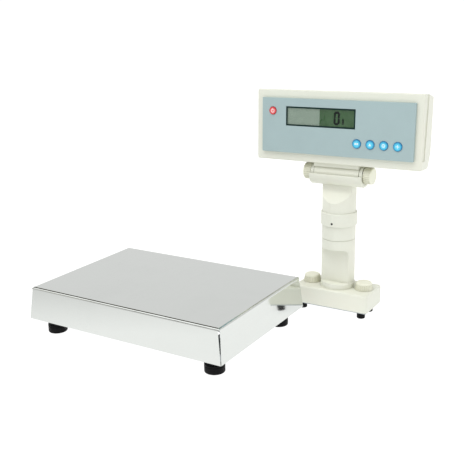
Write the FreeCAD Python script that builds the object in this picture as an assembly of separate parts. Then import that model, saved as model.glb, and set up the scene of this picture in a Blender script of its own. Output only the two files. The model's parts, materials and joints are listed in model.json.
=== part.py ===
import FreeCAD, Part
import math
import os

os.makedirs("parts", exist_ok=True)
V = FreeCAD.Vector

# ------------------------------------------------------------------ driving dimensions (mm)
# The platform is drawn about its own centre, z = 0 is the floor, x runs along the long side
# of the platter and y from the front of the scale to the back.  export() moves everything so
# that the origin ends up under the middle of the whole scale.

# weighing platter: one folded sheet
PLATTER_W = 352.0
PLATTER_D = 243.5
PLATTER_TOP = 78.3
SKIRT_BOTTOM = 26.3
SKIRT_FLARE = 5.0
SHEET_T = 1.2
BEND_R = 3.8
HEM_H = 9.0
CORNER_GAP_TOP = 3.0
CORNER_GAP_BOTTOM = 0.8
RELIEF_R = 1.8
RELIEF_DROP = 4.8
CORNER_TOOL = 16.0

# pads, spider and load cell under the platter
PAD_X = 118.0
PAD_Y = 74.0
PAD_R = 11.0
PAD_H = 4.0
PAD_STEM_R = 4.0
PAD_STEM_H = 5.0
SEAT_GAP = 0.05
FIT = 0.05
SPIDER_H = 8.0
SPIDER_ARM_W = 24.0
SPIDER_BOSS_R = 14.0
HUB_W = 150.0
HUB_D = 44.0
CELL_L = 130.0
CELL_W = 30.0
CELL_H = 22.0
CELL_BEAN_R = 8.0
CELL_BEAN_X = 13.0
CELL_SLOT_H = 6.0
CELL_PAD_L = 36.0
CELL_BOLT_X = (40.0, 56.0)
CELL_BOLT_R = 3.0
BOLT_HEAD_R = 5.0
BOLT_HEAD_H = 5.0
BOLT_SOCKET_R = 2.4
BOLT_SOCKET_H = 2.6
BOLT_GRIP = 13.0
COUNTERBORE_R = 5.6
COUNTERBORE_H = 5.4
STOP_X = 95.0
STOP_R = 2.5
STOP_CLEAR = 1.0
NUT_M5_R = 4.6
NUT_M5_H = 4.0

# base frame (folded steel tray, open downwards)
FRAME_W = 334.0
FRAME_D = 226.0
FRAME_T = 2.0
FRAME_TOP = 34.5
FRAME_BOTTOM = 21.8
FRAME_WINDOW = (36.0, 62.0, 118.0, 84.0)
RIB_W = 18.0
RIB_H = 8.0
RIB_X = (-128.0, 22.0)
CELL_SPACER_H = 4.3

# levelling feet
FOOT_X = 151.2
FOOT_Y = 97.2
FOOT_R = 15.2
FOOT_H = 14.0
FOOT_EDGE = 1.6
FOOT_GROOVE_Z = 10.0
FOOT_GROOVE = 0.8
STUD_R = 4.0
STUD_TOP = 52.8
STUD_SOCKET = 6.0
COLLAR_HEX_R = 8.0
COLLAR_HEX_H = 4.5
NUT_M8_R = 7.5
NUT_M8_H = 6.3

# bubble level
LEVEL_X = -138.0
LEVEL_Y = 20.0
LEVEL_R = 9.0
LEVEL_H = 7.0
LEVEL_WALL = 1.2

# arm that ties the display column to the platform
ARM_T = 2.5
ARM_TOP = 14.8
ARM_LEG_X0 = 70.0
ARM_LEG_X1 = 130.0
ARM_LEG_Y0 = 40.0
ARM_FLANGE_H = 6.0
ARM_FLANGE_T = 2.0
ARM_FLANGE_Y1 = 164.0
ARM_INSET = 3.0
ARM_SCREW_X = (84.0, 116.0)
ARM_SCREW_Y = (58.0, 98.0)
ARM_TUBE_R = 7.0
ARM_SCREW_R = 2.5
ARM_HEAD_R = 4.6
ARM_HEAD_H = 3.0

# display column base
COL_X = 208.4
COL_Y = 203.2
BASE_W = 131.0
BASE_D = 68.0
BASE_BOTTOM = 14.8
BASE_TOP = 44.4
BASE_WALL = 3.0
BASE_CORNER_R = 6.0
BASE_EDGE_R = 3.0
COVER_T = 2.0
COVER_GAP = 0.3
POST_R = 5.0
POST_X = 54.0
POST_Y = 22.0
POST_HOLE_R = 1.5
SCREW_M3_R = 1.5
SCREW_M3_HEAD_R = 2.8
SCREW_M3_HEAD_H = 1.8
BASE_FOOT_X = (-56.0, 50.0)
BASE_FOOT_Y = 17.4
BASE_FOOT_R = 6.85
BASE_FOOT_EDGE = 1.4
LEAD_NOTCH_W = 12.0
LEAD_NOTCH_H = 9.0
CABLE_HOLE_R = 12.0

# clamp knobs on the column base
KNOB_X = 47.0
KNOB_R0 = 14.8
KNOB_R1 = 12.6
KNOB_H = 12.2
KNOB_GAP = 0.4
KNOB_RIBS = 28
KNOB_RIB_R = 1.1
KNOB_RIB_Z = 1.0
KNOB_RIB_L = 8.0
KNOB_EDGE = 2.4
KNOB_STUD_R = 3.0
KNOB_STUD_IN = 8.0
KNOB_STUD_BOTTOM = 6.0
KNOB_BOSS_R = 8.0
KNOB_HOLE_R = 3.4

# power inlet at the back of the column base
INLET_X = -34.0
INLET_Z = 27.8
INLET_R = 5.5
INLET_BORE_R = 2.8
INLET_BORE_L = 9.0
INLET_PIN_R = 1.0
INLET_PIN_L = 8.0
INLET_BODY = 12.0
INLET_BODY_L = 14.0

# column tubes
TUBE_R = 27.6
TUBE_BORE_R = 24.6
FLANGE_R = 28.6
FLANGE_TOP = 53.8
FLANGE_EDGE = 1.2
LOWER_TOP = 162.8
SCOOP_LO_DEPTH = 14.9
SCOOP_LO_Z1 = 112.4
SCOOP_LO_R = 6.0
SCOOP_LO_HALF_W = 26.6
SCOOP_LO_CORNER = 12.0
SCOOP_WALL = 3.0
RING_Z = 128.5
RING_T = 1.0
RING_DEPTH = 0.8
COLLAR_R = 29.75
COLLAR_Z0 = 151.6
COLLAR_Z1 = 174.4
COLLAR_EDGE = 1.2
COLLAR_GAP = 0.45
SETSCREW_Z = 157.6
SETSCREW_R = 1.9
SETSCREW_SINK = 0.7
SETSCREW_TIP = 25.2
SPIGOT_R = 24.55
SPIGOT_BORE_R = 21.0
SPIGOT_Z0 = 128.8
SWIVEL_GAP = 0.4
STOP_LUG_DEG = 15.0
STOP_LUG_H = 3.6
STOP_LUG_CLEAR = 0.35
UPPER_TOP = 222.8
SCOOP_UP_Z0 = 190.8
SCOOP_UP_DEPTH = 18.5
SCOOP_UP_RISE = 19.5
SCOOP_UP_R = 16.0
BACK_CUT_Z = 206.8

# tilt hinge on top of the column
HINGE_Y = 200.5
HINGE_Z = 237.2
CRADLE_R = 20.0
CRADLE_BORE_R = 15.6
CRADLE_HALF_L = 45.1
CRADLE_CORNER_R = 1.5
EAR_X0 = 39.5
EAR_X1 = 44.5
EAR_R = 14.0
SHAFT_R = 4.0
SHAFT_HALF_L = 57.5
SHAFT_FIT = 0.06
WASHER_R = 11.0
WASHER_T = 0.6
TILT_KNOB_R = 13.6
TILT_KNOB_X0 = 45.4
TILT_KNOB_X1 = 59.2
TILT_KNOB_RIBS = 28
TILT_KNOB_RIB_R = 1.0
TILT_KNOB_RIB_OUT = 0.2
TILT_KNOB_RIM = 3.0
TILT_KNOB_EDGE = 2.0
BARREL_R = 14.5
BARREL_HALF_L = 38.7
NECK_FRONT = 14.0
NECK_BACK = 9.5
NECK_Z0 = 10.8

# display head, drawn upright about the hinge axis and then leaned back by HEAD_TILT
HEAD_TILT = 1.7
HEAD_CX = 208.5
HEAD_W = 282.0
HEAD_H = 115.4
HEAD_Z0 = 17.0
HEAD_FRONT = -19.8
HEAD_SPLIT = -7.8
HEAD_SPLIT_TOP = 0.0
HEAD_BACK = 22.5
HEAD_TOP_DROP = 7.0
HEAD_CORNER_R = 3.4
HEAD_EDGE_R = 2.2
REAR_STEP = 1.6
REAR_SLANT_Y = 12.0
REAR_SLANT_Z = 23.0
REAR_SLANT_R = 7.0
REAR_EDGE_R = 1.6
HEAD_WALL = 2.5
FLANGE_T = 3.0
GROOVE_IN = 1.4
GROOVE_STOP = 14.0
PANEL_W = 258.4
PANEL_H = 88.1
PANEL_Z = 75.0
PANEL_FACE = -24.5
PANEL_T = 4.7
PANEL_CORNER_R = 1.0
PANEL_EDGE_R = 0.4
BEZEL_SKIN = 2.4
WINDOW_X = -25.6
WINDOW_Z = 15.5
WINDOW_W = 120.3
WINDOW_H = 31.2
WINDOW_SINK = 0.4
LENS_T = 1.0
LENS_FIT = 0.15
LCD_INSET = 1.8
LCD_T = 2.6
LCD_FRAME_T = 2.0
LCD_FRAME_D = 5.0
LCD_GAP = 0.2
KEY_Z = -22.2
KEY_X = (37.9, 59.97, 82.03, 104.1)
KEY_R = 7.1
POWER_X = -109.8
POWER_Z = 23.1
POWER_R = 6.4
KEY_CLEAR = 0.35
KEY_PROUD = 1.3
KEY_EDGE = 0.7
KEY_LIP = 1.3
KEY_LIP_T = 1.2
KEY_TRAVEL = 0.8
KEY_STEM_R = 2.2
BOARD_W = 236.0
BOARD_H = 74.0
BOARD_Y = -10.4
BOARD_T = 1.6
SWITCH_W = 6.0
SWITCH_H = 3.4
SWITCH_BUTTON_R = 1.7
SWITCH_BUTTON_H = 1.0
STANDOFF_X = 110.0
STANDOFF_Z = 30.0
STANDOFF_R = 3.5
HEAD_SCREW_X = 132.0
HEAD_SCREW_Z = (-29.0, 44.0)
HEAD_POST_R = 3.6
HEAD_SCREW_L = 12.0
KNUCKLE_SCREW_X = 28.0
KNUCKLE_SCREW_Y = 4.0
KNUCKLE_SCREW_L = 9.0
BATTERY_X = -62.0
BATTERY_W = 62.0
BATTERY_H = 46.0
BATTERY_T = 14.0
BAY_WALL = 1.6
BAY_FLOOR = 2.8
DOOR_T = 1.4
DOOR_GAP = 0.4
DOOR_MARGIN = 5.0
VENT_X = 70.0
VENT_COUNT = 6
VENT_PITCH = 7.0
VENT_W = 44.0
VENT_H = 2.4

# signal lead from the load cell to the column, and its plug
LEAD_R = 2.3
LEAD_HOLE_R = 7.0
PLUG_R = 6.0
PLUG_L = 22.0
PLUG_Z0 = 92.8

# where the finished scale sits: origin under the middle of its outline
SHIFT_X = -((HEAD_CX + HEAD_W / 2) - (PLATTER_W / 2 + SKIRT_FLARE)) / 2
SHIFT_Y = -((COL_Y + BASE_D / 2) - (PLATTER_D / 2 + SKIRT_FLARE)) / 2
BIG = 400.0


# ------------------------------------------------------------------ small helpers
def box(x0, x1, y0, y1, z0, z1):
    return Part.makeBox(x1 - x0, y1 - y0, z1 - z0, V(x0, y0, z0))


def centred_box(w, d, z0, z1, cx=0.0, cy=0.0):
    return box(cx - w / 2, cx + w / 2, cy - d / 2, cy + d / 2, z0, z1)


def cyl_z(x, y, z0, z1, r):
    return Part.makeCylinder(r, z1 - z0, V(x, y, z0), V(0, 0, 1))


def cyl_x(x0, x1, y, z, r):
    return Part.makeCylinder(r, x1 - x0, V(x0, y, z), V(1, 0, 0))


def cyl_y(x, y0, y1, z, r):
    return Part.makeCylinder(r, y1 - y0, V(x, y0, z), V(0, 1, 0))


def cone_z(x, y, z0, z1, r0, r1):
    return Part.makeCone(r0, r1, z1 - z0, V(x, y, z0), V(0, 0, 1))


def hex_z(x, y, z0, z1, r):
    corners = [V(x + r * math.cos(math.radians(60 * i)), y + r * math.sin(math.radians(60 * i)), z0)
               for i in range(7)]
    return Part.Face(Part.makePolygon(corners)).extrude(V(0, 0, z1 - z0))


def rect_wire(w, d, z):
    x, y = w / 2, d / 2
    return Part.makePolygon([V(-x, -y, z), V(x, -y, z), V(x, y, z), V(-x, y, z), V(-x, -y, z)])


def frustum(w0, d0, z0, w1, d1, z1):
    return Part.makeLoft([rect_wire(w0, d0, z0), rect_wire(w1, d1, z1)], True, True)


def prism_x(points_yz, x0, x1):
    wire = Part.makePolygon([V(x0, y, z) for y, z in points_yz + points_yz[:1]])
    return Part.Face(wire).extrude(V(x1 - x0, 0, 0))


def plate_y(w, h, y0, y1, cx, cz, r):
    # an upright plate facing -y with rounded corners
    solid = box(cx - w / 2, cx + w / 2, y0, y1, cz - h / 2, cz + h / 2)
    return solid.makeFillet(r, edges_along(solid, V(0, 1, 0)))


def edges_along(solid, axis):
    found = []
    for edge in solid.Edges:
        if len(edge.Vertexes) == 2 and type(edge.Curve).__name__ in ("Line", "LineSegment"):
            run = edge.Vertexes[1].Point.sub(edge.Vertexes[0].Point)
            if abs(abs(run.normalize().dot(axis)) - 1) < 1e-6:
                found.append(edge)
    return found


def edges_at_z(solid, z):
    return [e for e in solid.Edges
            if abs(e.BoundBox.ZMin - z) < 1e-5 and abs(e.BoundBox.ZMax - z) < 1e-5]


def fuse_all(shapes):
    first = shapes[0]
    return first.fuse(shapes[1:]).removeSplitter() if len(shapes) > 1 else first


def four(x, y):
    return [(sx * x, sy * y) for sx in (-1, 1) for sy in (-1, 1)]


def export(name, shape, tilt=False):
    solid = shape.copy()
    if tilt:
        solid.rotate(V(COL_X, HINGE_Y, HINGE_Z), V(-1, 0, 0), HEAD_TILT)
    solid.translate(V(SHIFT_X, SHIFT_Y, 0))
    solid.exportStep(os.path.join("parts", name + ".step"))
    return solid


# ------------------------------------------------------------------ platform
def platter_pan():
    # sheet folded down on four sides, hemmed at the bottom, open at the four corners
    bottom_w, bottom_d = PLATTER_W + 2 * SKIRT_FLARE, PLATTER_D + 2 * SKIRT_FLARE
    outer = frustum(bottom_w, bottom_d, SKIRT_BOTTOM, PLATTER_W, PLATTER_D, PLATTER_TOP)
    outer = outer.makeFillet(BEND_R, edges_at_z(outer, PLATTER_TOP))
    t2 = 2 * SHEET_T
    inner = frustum(bottom_w - t2, bottom_d - t2, SKIRT_BOTTOM,
                    PLATTER_W - t2, PLATTER_D - t2, PLATTER_TOP - SHEET_T)
    inner = inner.makeFillet(BEND_R - SHEET_T, edges_at_z(inner, PLATTER_TOP - SHEET_T))
    pan = outer.cut(inner)
    lean = SKIRT_FLARE * HEM_H / (PLATTER_TOP - SKIRT_BOTTOM)
    hem_out = frustum(bottom_w - t2, bottom_d - t2, SKIRT_BOTTOM,
                      bottom_w - t2 - 2 * lean, bottom_d - t2 - 2 * lean, SKIRT_BOTTOM + HEM_H)
    hem_in = frustum(bottom_w - 2 * t2, bottom_d - 2 * t2, SKIRT_BOTTOM,
                     bottom_w - 2 * t2 - 2 * lean, bottom_d - 2 * t2 - 2 * lean, SKIRT_BOTTOM + HEM_H)
    pan = pan.fuse(hem_out.cut(hem_in)).removeSplitter()
    for x, y in four(PLATTER_W / 2, PLATTER_D / 2):
        pan = pan.cut(corner_gap(x, y))
    return pan


def corner_gap(x, y):
    # tapering gap between two folded skirts with the round relief hole at its top
    z1 = PLATTER_TOP - RELIEF_DROP
    z0 = SKIRT_BOTTOM - 1
    g1, g0 = CORNER_GAP_TOP / 2, CORNER_GAP_BOTTOM / 2
    start = -CORNER_TOOL / 2
    wire = Part.makePolygon([V(start, -g0, z0), V(start, g0, z0), V(start, g1, z1),
                             V(start, -g1, z1), V(start, -g0, z0)])
    gap = Part.Face(wire).extrude(V(CORNER_TOOL + SKIRT_FLARE, 0, 0))
    gap = gap.fuse(Part.makeCylinder(RELIEF_R, CORNER_TOOL, V(start, 0, z1), V(1, 0, 0)))
    gap.rotate(V(0, 0, 0), V(0, 0, 1), math.degrees(math.atan2(y, x / abs(x) * abs(y))))
    gap.translate(V(x, y, 0))
    return gap


PAN_UNDER = PLATTER_TOP - SHEET_T
PAD_TOP = PAN_UNDER - SEAT_GAP
SPIDER_TOP = PAD_TOP - PAD_H
SPIDER_BOTTOM = SPIDER_TOP - SPIDER_H
CELL_Z0 = FRAME_TOP + CELL_SPACER_H
CELL_Z1 = CELL_Z0 + CELL_H
ARM_BOTTOM = ARM_TOP - ARM_T


def platter_pads():
    pads = []
    for x, y in four(PAD_X, PAD_Y):
        pad = cyl_z(x, y, SPIDER_TOP, PAD_TOP, PAD_R)
        pads.append(pad.fuse(cyl_z(x, y, SPIDER_TOP - PAD_STEM_H, SPIDER_TOP, PAD_STEM_R)))
    return Part.makeCompound(pads)


def platter_spider():
    span = 2 * math.hypot(PAD_X, PAD_Y)
    angle = math.degrees(math.atan2(PAD_Y, PAD_X))
    parts = [centred_box(HUB_W, HUB_D, SPIDER_BOTTOM, SPIDER_TOP)]
    for turn in (angle, -angle):
        arm = centred_box(span, SPIDER_ARM_W, SPIDER_BOTTOM, SPIDER_TOP)
        arm.rotate(V(0, 0, 0), V(0, 0, 1), turn)
        parts.append(arm)
    for x, y in four(PAD_X, PAD_Y):
        parts.append(cyl_z(x, y, SPIDER_BOTTOM, SPIDER_TOP, SPIDER_BOSS_R))
    spider = fuse_all(parts)
    for x, y in four(PAD_X, PAD_Y):
        spider = spider.cut(cyl_z(x, y, SPIDER_BOTTOM, SPIDER_TOP, PAD_STEM_R + FIT))
    for x in CELL_BOLT_X:
        spider = spider.cut(cyl_z(x, 0, SPIDER_BOTTOM, SPIDER_TOP, CELL_BOLT_R + FIT))
        spider = spider.cut(cyl_z(x, 0, SPIDER_TOP - COUNTERBORE_H, SPIDER_TOP, COUNTERBORE_R))
    return spider


def load_cell():
    # single-point beam: two joined round windows leave thin flexing webs above and below
    cell = centred_box(CELL_L, CELL_W, CELL_Z0, CELL_Z1)
    mid = (CELL_Z0 + CELL_Z1) / 2
    for x in (-CELL_BEAN_X, CELL_BEAN_X):
        cell = cell.cut(cyl_y(x, -CELL_W / 2, CELL_W / 2, mid, CELL_BEAN_R))
    cell = cell.cut(box(-CELL_BEAN_X, CELL_BEAN_X, -CELL_W / 2, CELL_W / 2,
                        mid - CELL_SLOT_H / 2, mid + CELL_SLOT_H / 2))
    for x in CELL_BOLT_X:
        cell = cell.cut(cyl_z(-x, 0, CELL_Z0, CELL_Z0 + BOLT_GRIP, CELL_BOLT_R + FIT))
        cell = cell.cut(cyl_z(x, 0, CELL_Z1 - BOLT_GRIP, CELL_Z1, CELL_BOLT_R + FIT))
    return cell


def cell_spacers():
    half = CELL_L / 2
    low = box(-half, -half + CELL_PAD_L, -CELL_W / 2, CELL_W / 2, FRAME_TOP, CELL_Z0)
    high = box(half - CELL_PAD_L, half, -CELL_W / 2, CELL_W / 2, CELL_Z1, SPIDER_BOTTOM)
    for x in CELL_BOLT_X:
        low = low.cut(cyl_z(-x, 0, FRAME_TOP, CELL_Z0, CELL_BOLT_R + FIT))
        high = high.cut(cyl_z(x, 0, CELL_Z1, SPIDER_BOTTOM, CELL_BOLT_R + FIT))
    return Part.makeCompound([low, high])


def socket_bolt(x, y, z_seat, shank_end, up):
    # cap screw; up=True means the head is above its seat
    h = BOLT_HEAD_H if up else -BOLT_HEAD_H
    s = BOLT_SOCKET_H if up else -BOLT_SOCKET_H
    z0, z1 = sorted((z_seat, z_seat + h))
    head = cyl_z(x, y, z0, z1, BOLT_HEAD_R)
    z0, z1 = sorted((z_seat + h, z_seat + h - s))
    head = head.cut(hex_z(x, y, z0, z1, BOLT_SOCKET_R))
    z0, z1 = sorted((z_seat, shank_end))
    return head.fuse(cyl_z(x, y, z0, z1, CELL_BOLT_R))


def cell_bolts():
    bolts = []
    reach = BOLT_GRIP - 1
    for x in CELL_BOLT_X:
        bolts.append(socket_bolt(-x, 0, FRAME_TOP - FRAME_T, CELL_Z0 + reach, False))
        bolts.append(socket_bolt(x, 0, SPIDER_TOP - COUNTERBORE_H, CELL_Z1 - reach, True))
    return Part.makeCompound(bolts)


def stop_places():
    return four(STOP_X, STOP_X * PAD_Y / PAD_X)


def overload_stops():
    stops = []
    for x, y in stop_places():
        screw = cyl_z(x, y, FRAME_BOTTOM + FRAME_T, SPIDER_BOTTOM - STOP_CLEAR, STOP_R)
        nut = hex_z(x, y, FRAME_TOP, FRAME_TOP + NUT_M5_H, NUT_M5_R)
        stops.append(screw.fuse(nut))
    return Part.makeCompound(stops)


def arm_screw_places():
    return [(x, y) for x in ARM_SCREW_X for y in ARM_SCREW_Y]


def base_frame():
    frame = centred_box(FRAME_W, FRAME_D, FRAME_BOTTOM, FRAME_TOP)
    frame = frame.makeFillet(FRAME_T, edges_at_z(frame, FRAME_TOP))
    frame = frame.cut(centred_box(FRAME_W - 2 * FRAME_T, FRAME_D - 2 * FRAME_T,
                                  FRAME_BOTTOM, FRAME_TOP - FRAME_T))
    under = FRAME_TOP - FRAME_T
    ribs = [centred_box(RIB_W, FRAME_D - 2 * FRAME_T, under - RIB_H, under, x) for x in RIB_X]
    inner = [centred_box(RIB_W - 2 * FRAME_T, FRAME_D, under - RIB_H + FRAME_T, under, x) for x in RIB_X]
    for rib, hollow in zip(ribs, inner):
        frame = frame.fuse(rib.cut(hollow))
    frame = frame.removeSplitter()
    for x, y in four(FOOT_X, FOOT_Y):
        frame = frame.cut(cyl_z(x, y, FRAME_BOTTOM, FRAME_TOP, STUD_R + 0.4))
    for x, y in stop_places():
        frame = frame.cut(cyl_z(x, y, FRAME_BOTTOM, FRAME_TOP, STOP_R + FIT))
    for x in CELL_BOLT_X:
        frame = frame.cut(cyl_z(-x, 0, FRAME_TOP - FRAME_T, FRAME_TOP, CELL_BOLT_R + FIT))
    for x, y in arm_screw_places():
        frame = frame.cut(cyl_z(x, y, FRAME_TOP - FRAME_T, FRAME_TOP, ARM_SCREW_R + FIT))
    frame = frame.cut(cyl_z(*LEAD_PATH[LEAD_HOLE_I][:2], under - 1, FRAME_TOP + 1, LEAD_HOLE_R))
    x0, y0, w, d = FRAME_WINDOW
    frame = frame.cut(box(x0 + 2 * RIB_W, x0 + 2 * RIB_W + w / 2, -y0 - d / 4, -y0 + d / 4,
                          FRAME_TOP - FRAME_T, FRAME_TOP))
    frame = frame.cut(box(-x0 - w / 2, -x0, -y0 - d / 4, -y0 + d / 4, FRAME_TOP - FRAME_T, FRAME_TOP))
    return frame


def foot_nuts():
    nuts = []
    for x, y in four(FOOT_X, FOOT_Y):
        nut = hex_z(x, y, FRAME_TOP, FRAME_TOP + NUT_M8_H, NUT_M8_R)
        nuts.append(nut.cut(cyl_z(x, y, FRAME_TOP, FRAME_TOP + NUT_M8_H, STUD_R + FIT)))
    return Part.makeCompound(nuts)


def foot_pad(x, y):
    pad = cyl_z(x, y, 0, FOOT_H, FOOT_R)
    pad = pad.makeFillet(FOOT_EDGE, edges_at_z(pad, 0) + edges_at_z(pad, FOOT_H))
    ring = cyl_z(x, y, FOOT_GROOVE_Z, FOOT_GROOVE_Z + FOOT_GROOVE, FOOT_R + 1)
    pad = pad.cut(ring.cut(cyl_z(x, y, FOOT_GROOVE_Z, FOOT_GROOVE_Z + FOOT_GROOVE, FOOT_R - FOOT_GROOVE)))
    return pad.cut(cyl_z(x, y, FOOT_H - STUD_SOCKET, FOOT_H, STUD_R))


def foot_stud(x, y):
    stud = cyl_z(x, y, FOOT_H - STUD_SOCKET, STUD_TOP, STUD_R)
    stud = stud.makeChamfer(0.6, edges_at_z(stud, STUD_TOP))
    return stud.fuse(hex_z(x, y, FOOT_H, FOOT_H + COLLAR_HEX_H, COLLAR_HEX_R))


def bubble_level():
    cup = cyl_z(LEVEL_X, LEVEL_Y, FRAME_TOP, FRAME_TOP + LEVEL_H, LEVEL_R)
    well = cyl_z(LEVEL_X, LEVEL_Y, FRAME_TOP + LEVEL_WALL, FRAME_TOP + LEVEL_H, LEVEL_R - LEVEL_WALL)
    vial = cyl_z(LEVEL_X, LEVEL_Y, FRAME_TOP + LEVEL_WALL, FRAME_TOP + LEVEL_H - LEVEL_WALL / 2,
                 LEVEL_R - LEVEL_WALL)
    return cup.cut(well).fuse(vial)


# ------------------------------------------------------------------ arm and signal lead
def support_arm():
    # flat plate under the column base, with a leg running forward below the base frame
    x1 = COL_X + BASE_W / 2 - ARM_INSET
    y0, y1 = COL_Y - BASE_D / 2 + ARM_INSET, COL_Y + BASE_D / 2 - ARM_INSET
    plate = box(ARM_LEG_X0, x1, y0, y1, ARM_BOTTOM, ARM_TOP)
    leg = box(ARM_LEG_X0, ARM_LEG_X1, ARM_LEG_Y0, y0, ARM_BOTTOM, ARM_TOP)
    arm = plate.fuse(leg)
    for x in (ARM_LEG_X0, ARM_LEG_X1 - ARM_FLANGE_T):
        arm = arm.fuse(box(x, x + ARM_FLANGE_T, ARM_LEG_Y0, ARM_FLANGE_Y1, ARM_TOP, ARM_TOP + ARM_FLANGE_H))
    arm = arm.removeSplitter()
    for x, y in arm_screw_places():
        arm = arm.cut(cyl_z(x, y, ARM_BOTTOM, ARM_TOP, ARM_SCREW_R + FIT))
    for side in (-1, 1):
        arm = arm.cut(cyl_z(COL_X + side * KNOB_X, COL_Y, ARM_BOTTOM, ARM_TOP, KNOB_STUD_R + FIT))
    for x, y in four(POST_X, POST_Y):
        arm = arm.cut(cyl_z(COL_X + x, COL_Y + y, ARM_BOTTOM, ARM_TOP, SCREW_M3_HEAD_R + 0.5))
    return arm


def arm_spacers():
    tubes = []
    for x, y in arm_screw_places():
        tube = cyl_z(x, y, ARM_TOP, FRAME_TOP - FRAME_T, ARM_TUBE_R)
        tubes.append(tube.cut(cyl_z(x, y, ARM_TOP, FRAME_TOP - FRAME_T, ARM_SCREW_R + FIT)))
    return Part.makeCompound(tubes)


def arm_screws():
    screws = []
    for x, y in arm_screw_places():
        head = cyl_z(x, y, ARM_BOTTOM - ARM_HEAD_H, ARM_BOTTOM, ARM_HEAD_R)
        head = head.makeFillet(1.0, edges_at_z(head, ARM_BOTTOM - ARM_HEAD_H))
        head = head.cut(hex_z(x, y, ARM_BOTTOM - ARM_HEAD_H, ARM_BOTTOM - ARM_HEAD_H / 2, 1.8))
        shank = cyl_z(x, y, ARM_BOTTOM, FRAME_TOP + NUT_M5_H + 1, ARM_SCREW_R)
        nut = hex_z(x, y, FRAME_TOP, FRAME_TOP + NUT_M5_H, NUT_M5_R)
        screws.append(fuse_all([head, shank, nut]))
    return Part.makeCompound(screws)


LEAD_PATH = [(-65.3, 6.0, 49.8), (-67.5, 6.0, 49.8), (-76.0, 12.0, 47.0), (-81.0, 26.0, 41.0),
             (-81.5, 31.0, 34.0), (-79.0, 38.0, 27.0), (-60.0, 56.0, 23.0), (-20.0, 66.0, 21.4),
             (36.0, 72.0, 21.4), (71.0, 78.0, 25.0), (94.0, 84.0, 23.4), (100.0, 98.0, 20.2),
             (100.0, 112.0, 18.4), (101.0, 140.0, 18.0), (110.0, 178.0, 18.0), (128.0, 198.0, 18.6),
             (144.0, 201.0, 19.6), (160.0, 190.0, 20.0), (184.0, 187.0, 20.5), (200.0, 198.0, 28.0),
             (206.0, 208.0, 42.0), (208.4, 211.0, 62.0), (208.4, 211.0, 84.0), (208.4, 211.0, 92.8)]
LEAD_HOLE_I = 4
LEAD_ENTRY_I = 16


def signal_lead():
    curve = Part.BSplineCurve()
    curve.interpolate([V(*p) for p in LEAD_PATH])
    spine = Part.Wire([curve.toShape()])
    start = V(*LEAD_PATH[0])
    profile = Part.Wire([Part.makeCircle(LEAD_R, start, curve.tangent(curve.FirstParameter)[0])])
    lead = spine.makePipeShell([profile], True, True)
    plug = cyl_z(COL_X, LEAD_PATH[-1][1], PLUG_Z0, PLUG_Z0 + PLUG_L, PLUG_R)
    plug = plug.makeFillet(1.0, edges_at_z(plug, PLUG_Z0) + edges_at_z(plug, PLUG_Z0 + PLUG_L))
    return lead.fuse(plug)


# ------------------------------------------------------------------ column base
def base_box(inset, z0, z1):
    return centred_box(BASE_W - 2 * inset, BASE_D - 2 * inset, z0, z1, COL_X, COL_Y)


def base_housing():
    shell = base_box(0, BASE_BOTTOM, BASE_TOP)
    shell = shell.makeFillet(BASE_CORNER_R, edges_along(shell, V(0, 0, 1)))
    shell = shell.makeFillet(BASE_EDGE_R, edges_at_z(shell, BASE_TOP))
    hollow = base_box(BASE_WALL, BASE_BOTTOM, BASE_TOP - BASE_WALL)
    hollow = hollow.makeFillet(BASE_CORNER_R - BASE_WALL, edges_along(hollow, V(0, 0, 1)))
    shell = shell.cut(hollow)
    floor = BASE_BOTTOM + COVER_T
    for x, y in four(POST_X, POST_Y):
        shell = shell.fuse(cyl_z(COL_X + x, COL_Y + y, floor, BASE_TOP - BASE_WALL, POST_R))
    for side in (-1, 1):
        shell = shell.fuse(cyl_z(COL_X + side * KNOB_X, COL_Y, floor, BASE_TOP - BASE_WALL, KNOB_BOSS_R))
    shell = shell.removeSplitter()
    for side in (-1, 1):
        shell = shell.cut(cyl_z(COL_X + side * KNOB_X, COL_Y, BASE_BOTTOM, BASE_TOP, KNOB_HOLE_R))
    for x, y in four(POST_X, POST_Y):
        shell = shell.cut(cyl_z(COL_X + x, COL_Y + y, floor, floor + 10, POST_HOLE_R + FIT))
    shell = shell.cut(cyl_z(COL_X, COL_Y, BASE_BOTTOM, BASE_TOP, CABLE_HOLE_R))
    x0 = COL_X - BASE_W / 2
    notch_y = LEAD_PATH[LEAD_ENTRY_I][1]
    shell = shell.cut(box(x0 - 1, x0 + BASE_WALL + 1, notch_y - LEAD_NOTCH_W / 2, notch_y + LEAD_NOTCH_W / 2,
                          BASE_BOTTOM, BASE_BOTTOM + LEAD_NOTCH_H))
    y1 = COL_Y + BASE_D / 2
    return shell.cut(cyl_y(COL_X + INLET_X, y1 - BASE_WALL - 1, y1 + 1, INLET_Z, INLET_R + FIT))


def base_cover():
    cover = base_box(BASE_WALL + COVER_GAP, BASE_BOTTOM, BASE_BOTTOM + COVER_T)
    cover = cover.makeFillet(BASE_CORNER_R - BASE_WALL, edges_along(cover, V(0, 0, 1)))
    for side in (-1, 1):
        cover = cover.cut(cyl_z(COL_X + side * KNOB_X, COL_Y, BASE_BOTTOM, BASE_TOP, KNOB_HOLE_R))
    for x, y in four(POST_X, POST_Y):
        cover = cover.cut(cyl_z(COL_X + x, COL_Y + y, BASE_BOTTOM, BASE_TOP, SCREW_M3_R + FIT))
    x0 = COL_X - BASE_W / 2
    notch_y = LEAD_PATH[LEAD_ENTRY_I][1]
    return cover.cut(box(x0, x0 + 14, notch_y - LEAD_NOTCH_W / 2, notch_y + LEAD_NOTCH_W,
                         BASE_BOTTOM, BASE_TOP))


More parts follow.
